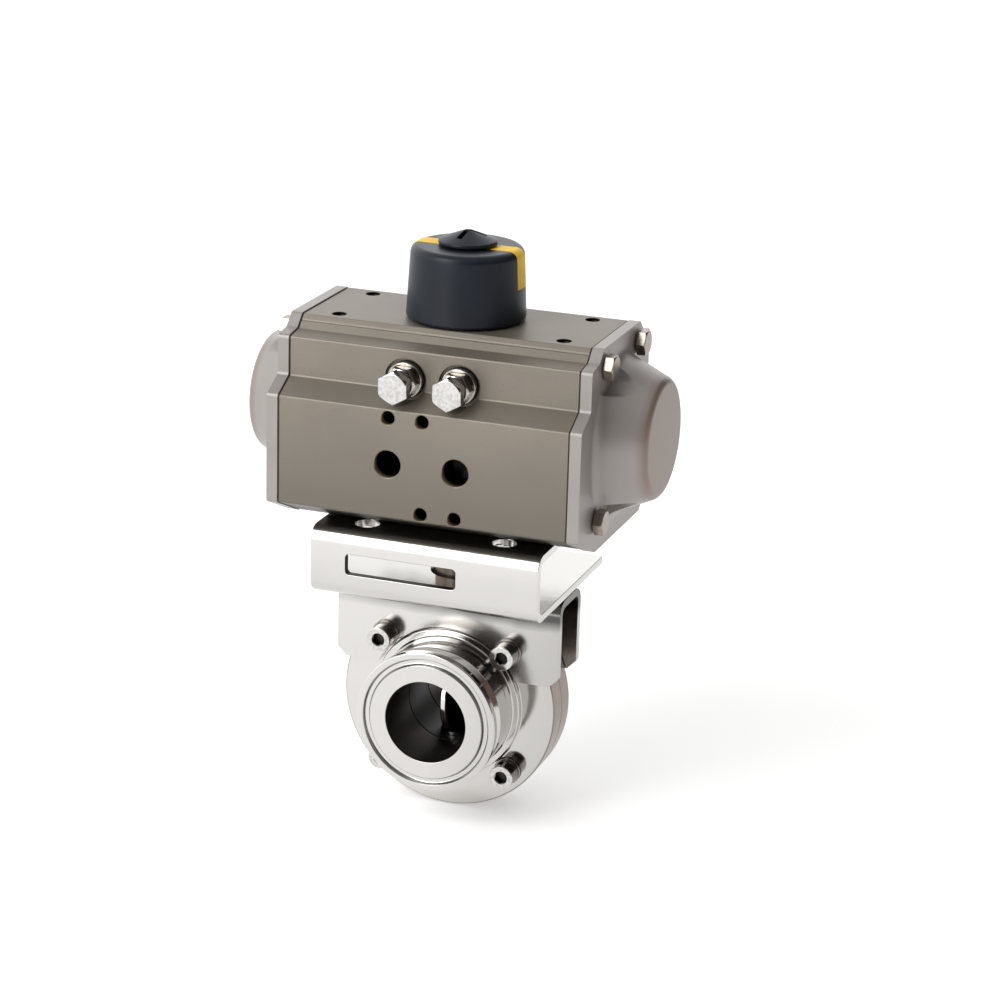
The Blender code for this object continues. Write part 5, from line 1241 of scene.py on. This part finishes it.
class VALVE_OT_body_screws(bpy.types.Operator):
    """Model the socket screws through the valve's flange with their washers and nuts"""
    bl_idname = "valve.body_screws"
    bl_label = "Body screws"

    def execute(self, context):
        flat = lathe("flat", [(2.7, 0.0, 0.15), (4.8, 0.0, 0.25), (4.8, 0.9, 0.25),
                              (2.7, 0.9, 0.15)], "Y", steps=64, ring=True)
        spring = lathe("spring", [(2.7, 0.95, 0.1), (4.3, 0.95, 0.15), (4.3, 2.1, 0.15),
                                  (2.7, 2.1, 0.1)], "Y", steps=64, ring=True)
        cut(spring, slab("split", [(2.0, 0.1), (5.5, 0.1), (5.5, 0.7), (2.0, 0.7)], 0.5, 2.6, "Y"))
        nut = hex_head("nut", 8.0, 4.0, "Y")
        cut(nut, lathe("hole", [(0, -1), (3.6, -1), (2.8, 0.4), (2.8, 3.6), (3.6, 5.0), (0, 5.0)],
                       "Y", steps=40))
        for source in (flat, spring, nut):
            smooth(source, 22)
        for height in ("top", "bottom"):
            for side, _ in SIDES:
                self.place(f"{height}_{side}", flat, spring, nut)
        for source in (flat, spring, nut):
            bpy.data.objects.remove(source)
        return {"FINISHED"}

    @staticmethod
    def place(place, flat, spring, nut):
        """One screw in its node's place, with copies of its washers and nut."""
        low, high = node_box("body_screw_" + place)
        centre = middle("body_screw_" + place)
        head, tip = low.y, high.y
        screw = lathe(f"body_screw_{place}_socket", [
            (0, head - 0.3), (4.25, head - 0.3), (4.25, head + 5.0, 0.2), (2.5, head + 5.0, 0.2),
            (2.5, head + 8.0)] + thread(2.5, head + 9.0, tip - 0.7, 0.8, 0.36)
            + [(2.0, tip), (0, tip)], "Y", centre.xz, 64)
        socket = slab("socket", hexagon(4.0, 0.3), head - 1, head + 2.5, "Y", centre.xz)
        mouth = lathe("mouth", [(0, head - 0.5), (2.9, head - 0.5), (2.0, head + 0.4),
                                (0, head + 0.4)], "Y", centre.xz, 48)
        facing = lathe("facing", [(0, head - 1), (6, head - 1), (6, head + 0.46),
                                  (4.3, head + 0.46), (4.23, head + 0.45), (4.23, head, 0.44),
                                  (0, head)], "Y", centre.xz, 64)
        # Painted shade: the screw's sides and socket mouth darker, the socket near black; only the
        # front face is plain bright steel
        coat(screw, "shaded screw steel")
        cut(screw, coat(socket, "painted-shade steel"), coat(mouth, "shaded screw steel"),
            coat(facing, "bright steel"))
        smooth(screw, 30)
        hand_over(screw, "shaded screw steel", "bright_steel", "housing", "body_screw_" + place)
        washer_back = node_box("lock_washer_" + place)[1].y
        # The washers take the darker steel as painted shade
        for source, name in ((flat, "flat_washer_"), (spring, "spring_washer_")):
            piece = copied(source, name + place, (centre.x, washer_back, centre.z), half_turn=True)
            hand_over(piece, "shaded screw steel", "bright_steel", "housing",
                      "lock_washer_" + place)
        nut_face = node_box("body_nut_" + place)[0].y
        piece = copied(nut, f"body_nut_{place}_hex", (centre.x, nut_face, centre.z))
        hand_over(piece, "bright steel", "bright_steel", "housing", "body_nut_" + place)


class VALVE_OT_studio(bpy.types.Operator):
    """Set up the pale floor, the soft lights and the camera"""
    bl_idname = "valve.studio"
    bl_label = "Studio"

    def execute(self, context):
        studio = context.scene.studio_settings
        self.floor(studio)
        self.surroundings(studio)
        self.light("key", (-0.85, -1.2, 1.45), 1.0, 0.8, studio.key_power)
        self.camera(context, studio)
        context.scene.view_settings.view_transform = "Standard"
        return {"FINISHED"}

    @staticmethod
    def floor(studio):
        """Large pale floor that glows a little."""
        low = CAD_BOX[0].z - 0.3 * MM
        bpy.ops.object.select_all(action="DESELECT")
        bpy.ops.mesh.primitive_plane_add(size=12.0, location=(0, 0, low))
        bpy.ops.object.transform_apply(location=True, rotation=True, scale=True)
        bpy.ops.object.mode_set(mode="EDIT")
        bpy.ops.mesh.subdivide(number_cuts=3)
        bpy.ops.object.mode_set(mode="OBJECT")
        piece = bpy.context.object
        piece.name = piece.data.name = "floor"
        paint = Finish("floor paint", 0.9, 0.0)
        cloud = paint.noise(0.002, 2.0)
        colour = tuple(studio.floor)
        paint.set(Base_Color=paint.blend(cloud, shade_of(colour, 0.99), colour),
                  Emission_Color=(1, 1, 1), Emission_Strength=studio.glow)
        piece.data.materials.append(paint.material)

    @staticmethod
    def surroundings(studio):
        """Room: white on the left, brown on the right, dark behind the camera, a panel in front."""
        world = bpy.data.worlds.new("studio")
        world.use_nodes = True
        bpy.context.scene.world = world
        room = Nodes(world.node_tree)
        way = room.node("ShaderNodeTexCoord", output="Generated")
        x, y, z = (room.node("ShaderNodeSeparateXYZ", {}, {0: way}, output=i) for i in range(3))
        past_left = room.ramp(x - 0.21 * y, 0.0, 0.05)
        dark = room.blend(room.ramp(x, 0.55, 0.80), tuple(studio.dark_room),
                          tuple(studio.right_wall))
        walls = room.blend(past_left, (studio.left_wall,) * 3, dark)
        panel = (room.ramp(x, -0.60, -0.52) * room.ramp(x, -0.15, -0.20)
                 * room.ramp(z, 0.42, 0.34) * room.ramp(y, -0.50, -0.60))
        walls = room.blend(panel, walls, (studio.panel,) * 3)
        ceiling = room.ramp(z, 0.55, 0.85)
        back = world.node_tree.nodes["Background"]
        room.plug(back.inputs["Color"], room.blend(ceiling, walls, (studio.zenith,) * 3))

    @staticmethod
    def light(name, place, width, height, power):
        """Soft box that faces the valve."""
        bpy.ops.object.light_add(type="AREA", location=place)
        lamp = bpy.context.object
        lamp.name = lamp.data.name = name
        lamp.data.shape = "RECTANGLE"
        lamp.data.size, lamp.data.size_y = width, height
        lamp.data.energy = power
        aim = Vector((0, 0, 0.07)) - Vector(place)
        lamp.rotation_mode = "QUATERNION"
        lamp.rotation_quaternion = aim.to_track_quat("-Z", "Y")

    @staticmethod
    def camera(context, studio):
        """Camera at the photograph's angle, found from the valve's standard sizes."""
        azimuth, elevation, roll = (math.radians(d) for d in (19.47, 18.19, 1.65))
        distance, aside, above, height = 1043.0, -12.9, 3.9, 75.3
        back = Vector((math.sin(azimuth) * math.cos(elevation),
                       -math.cos(azimuth) * math.cos(elevation), math.sin(elevation)))
        right = (-back).cross(Vector((0, 0, 1))).normalized()
        up = right.cross(-back)
        across = right * math.cos(roll) + up * math.sin(roll)
        upright = up * math.cos(roll) - right * math.sin(roll)
        place = back * distance - across * aside - upright * above + Vector((0, 0, height))
        bpy.ops.object.camera_add(location=place * MM)
        camera = bpy.context.object
        camera.name = camera.data.name = "camera"
        camera.rotation_mode = "QUATERNION"
        camera.rotation_quaternion = Matrix((across, upright, back)).transposed().to_quaternion()
        camera.data.lens = studio.lens
        camera.data.sensor_width = 36.0
        camera.data.clip_start, camera.data.clip_end = 0.05, 50.0
        context.scene.camera = camera


OPERATORS = (VALVE_OT_finishes, VALVE_OT_housing, VALVE_OT_end_caps, VALVE_OT_stop_screws,
             VALVE_OT_indicator, VALVE_OT_bracket, VALVE_OT_foot_bolts, VALVE_OT_coupling,
             VALVE_OT_valve_halves, VALVE_OT_seat_and_disc, VALVE_OT_body_screws,
             VALVE_OT_studio)


class VALVE_PT_pieces(bpy.types.Panel):
    """Buttons for the pieces, and the sizes and colours that they read"""
    bl_label = "Valve"
    bl_idname = "VALVE_PT_pieces"
    bl_space_type = "VIEW_3D"
    bl_region_type = "UI"
    bl_category = "Valve"

    def draw(self, context):
        for operator in OPERATORS:
            self.layout.operator(operator.bl_idname)
        for key, group in GROUPS.items():
            box = self.layout.box()
            box.label(text=group.__doc__)
            for name in group.__annotations__:
                box.prop(getattr(context.scene, key), name)


def register():
    """Add the add-on's classes and its properties."""
    for group in (*GROUPS.values(), *OPERATORS, VALVE_PT_pieces):
        bpy.utils.register_class(group)
    for key, group in GROUPS.items():
        setattr(bpy.types.Scene, key, bpy.props.PointerProperty(type=group))


def unregister():
    """Take the add-on's classes and properties away again."""
    for key in GROUPS:
        delattr(bpy.types.Scene, key)
    for group in (VALVE_PT_pieces, *reversed(OPERATORS), *reversed(list(GROUPS.values()))):
        bpy.utils.unregister_class(group)


def main():
    """Build every piece in order."""
    register()
    for operator in OPERATORS:
        family, name = operator.bl_idname.split(".")
        getattr(getattr(bpy.ops, family), name)()


if __name__ == "__main__":
    main()
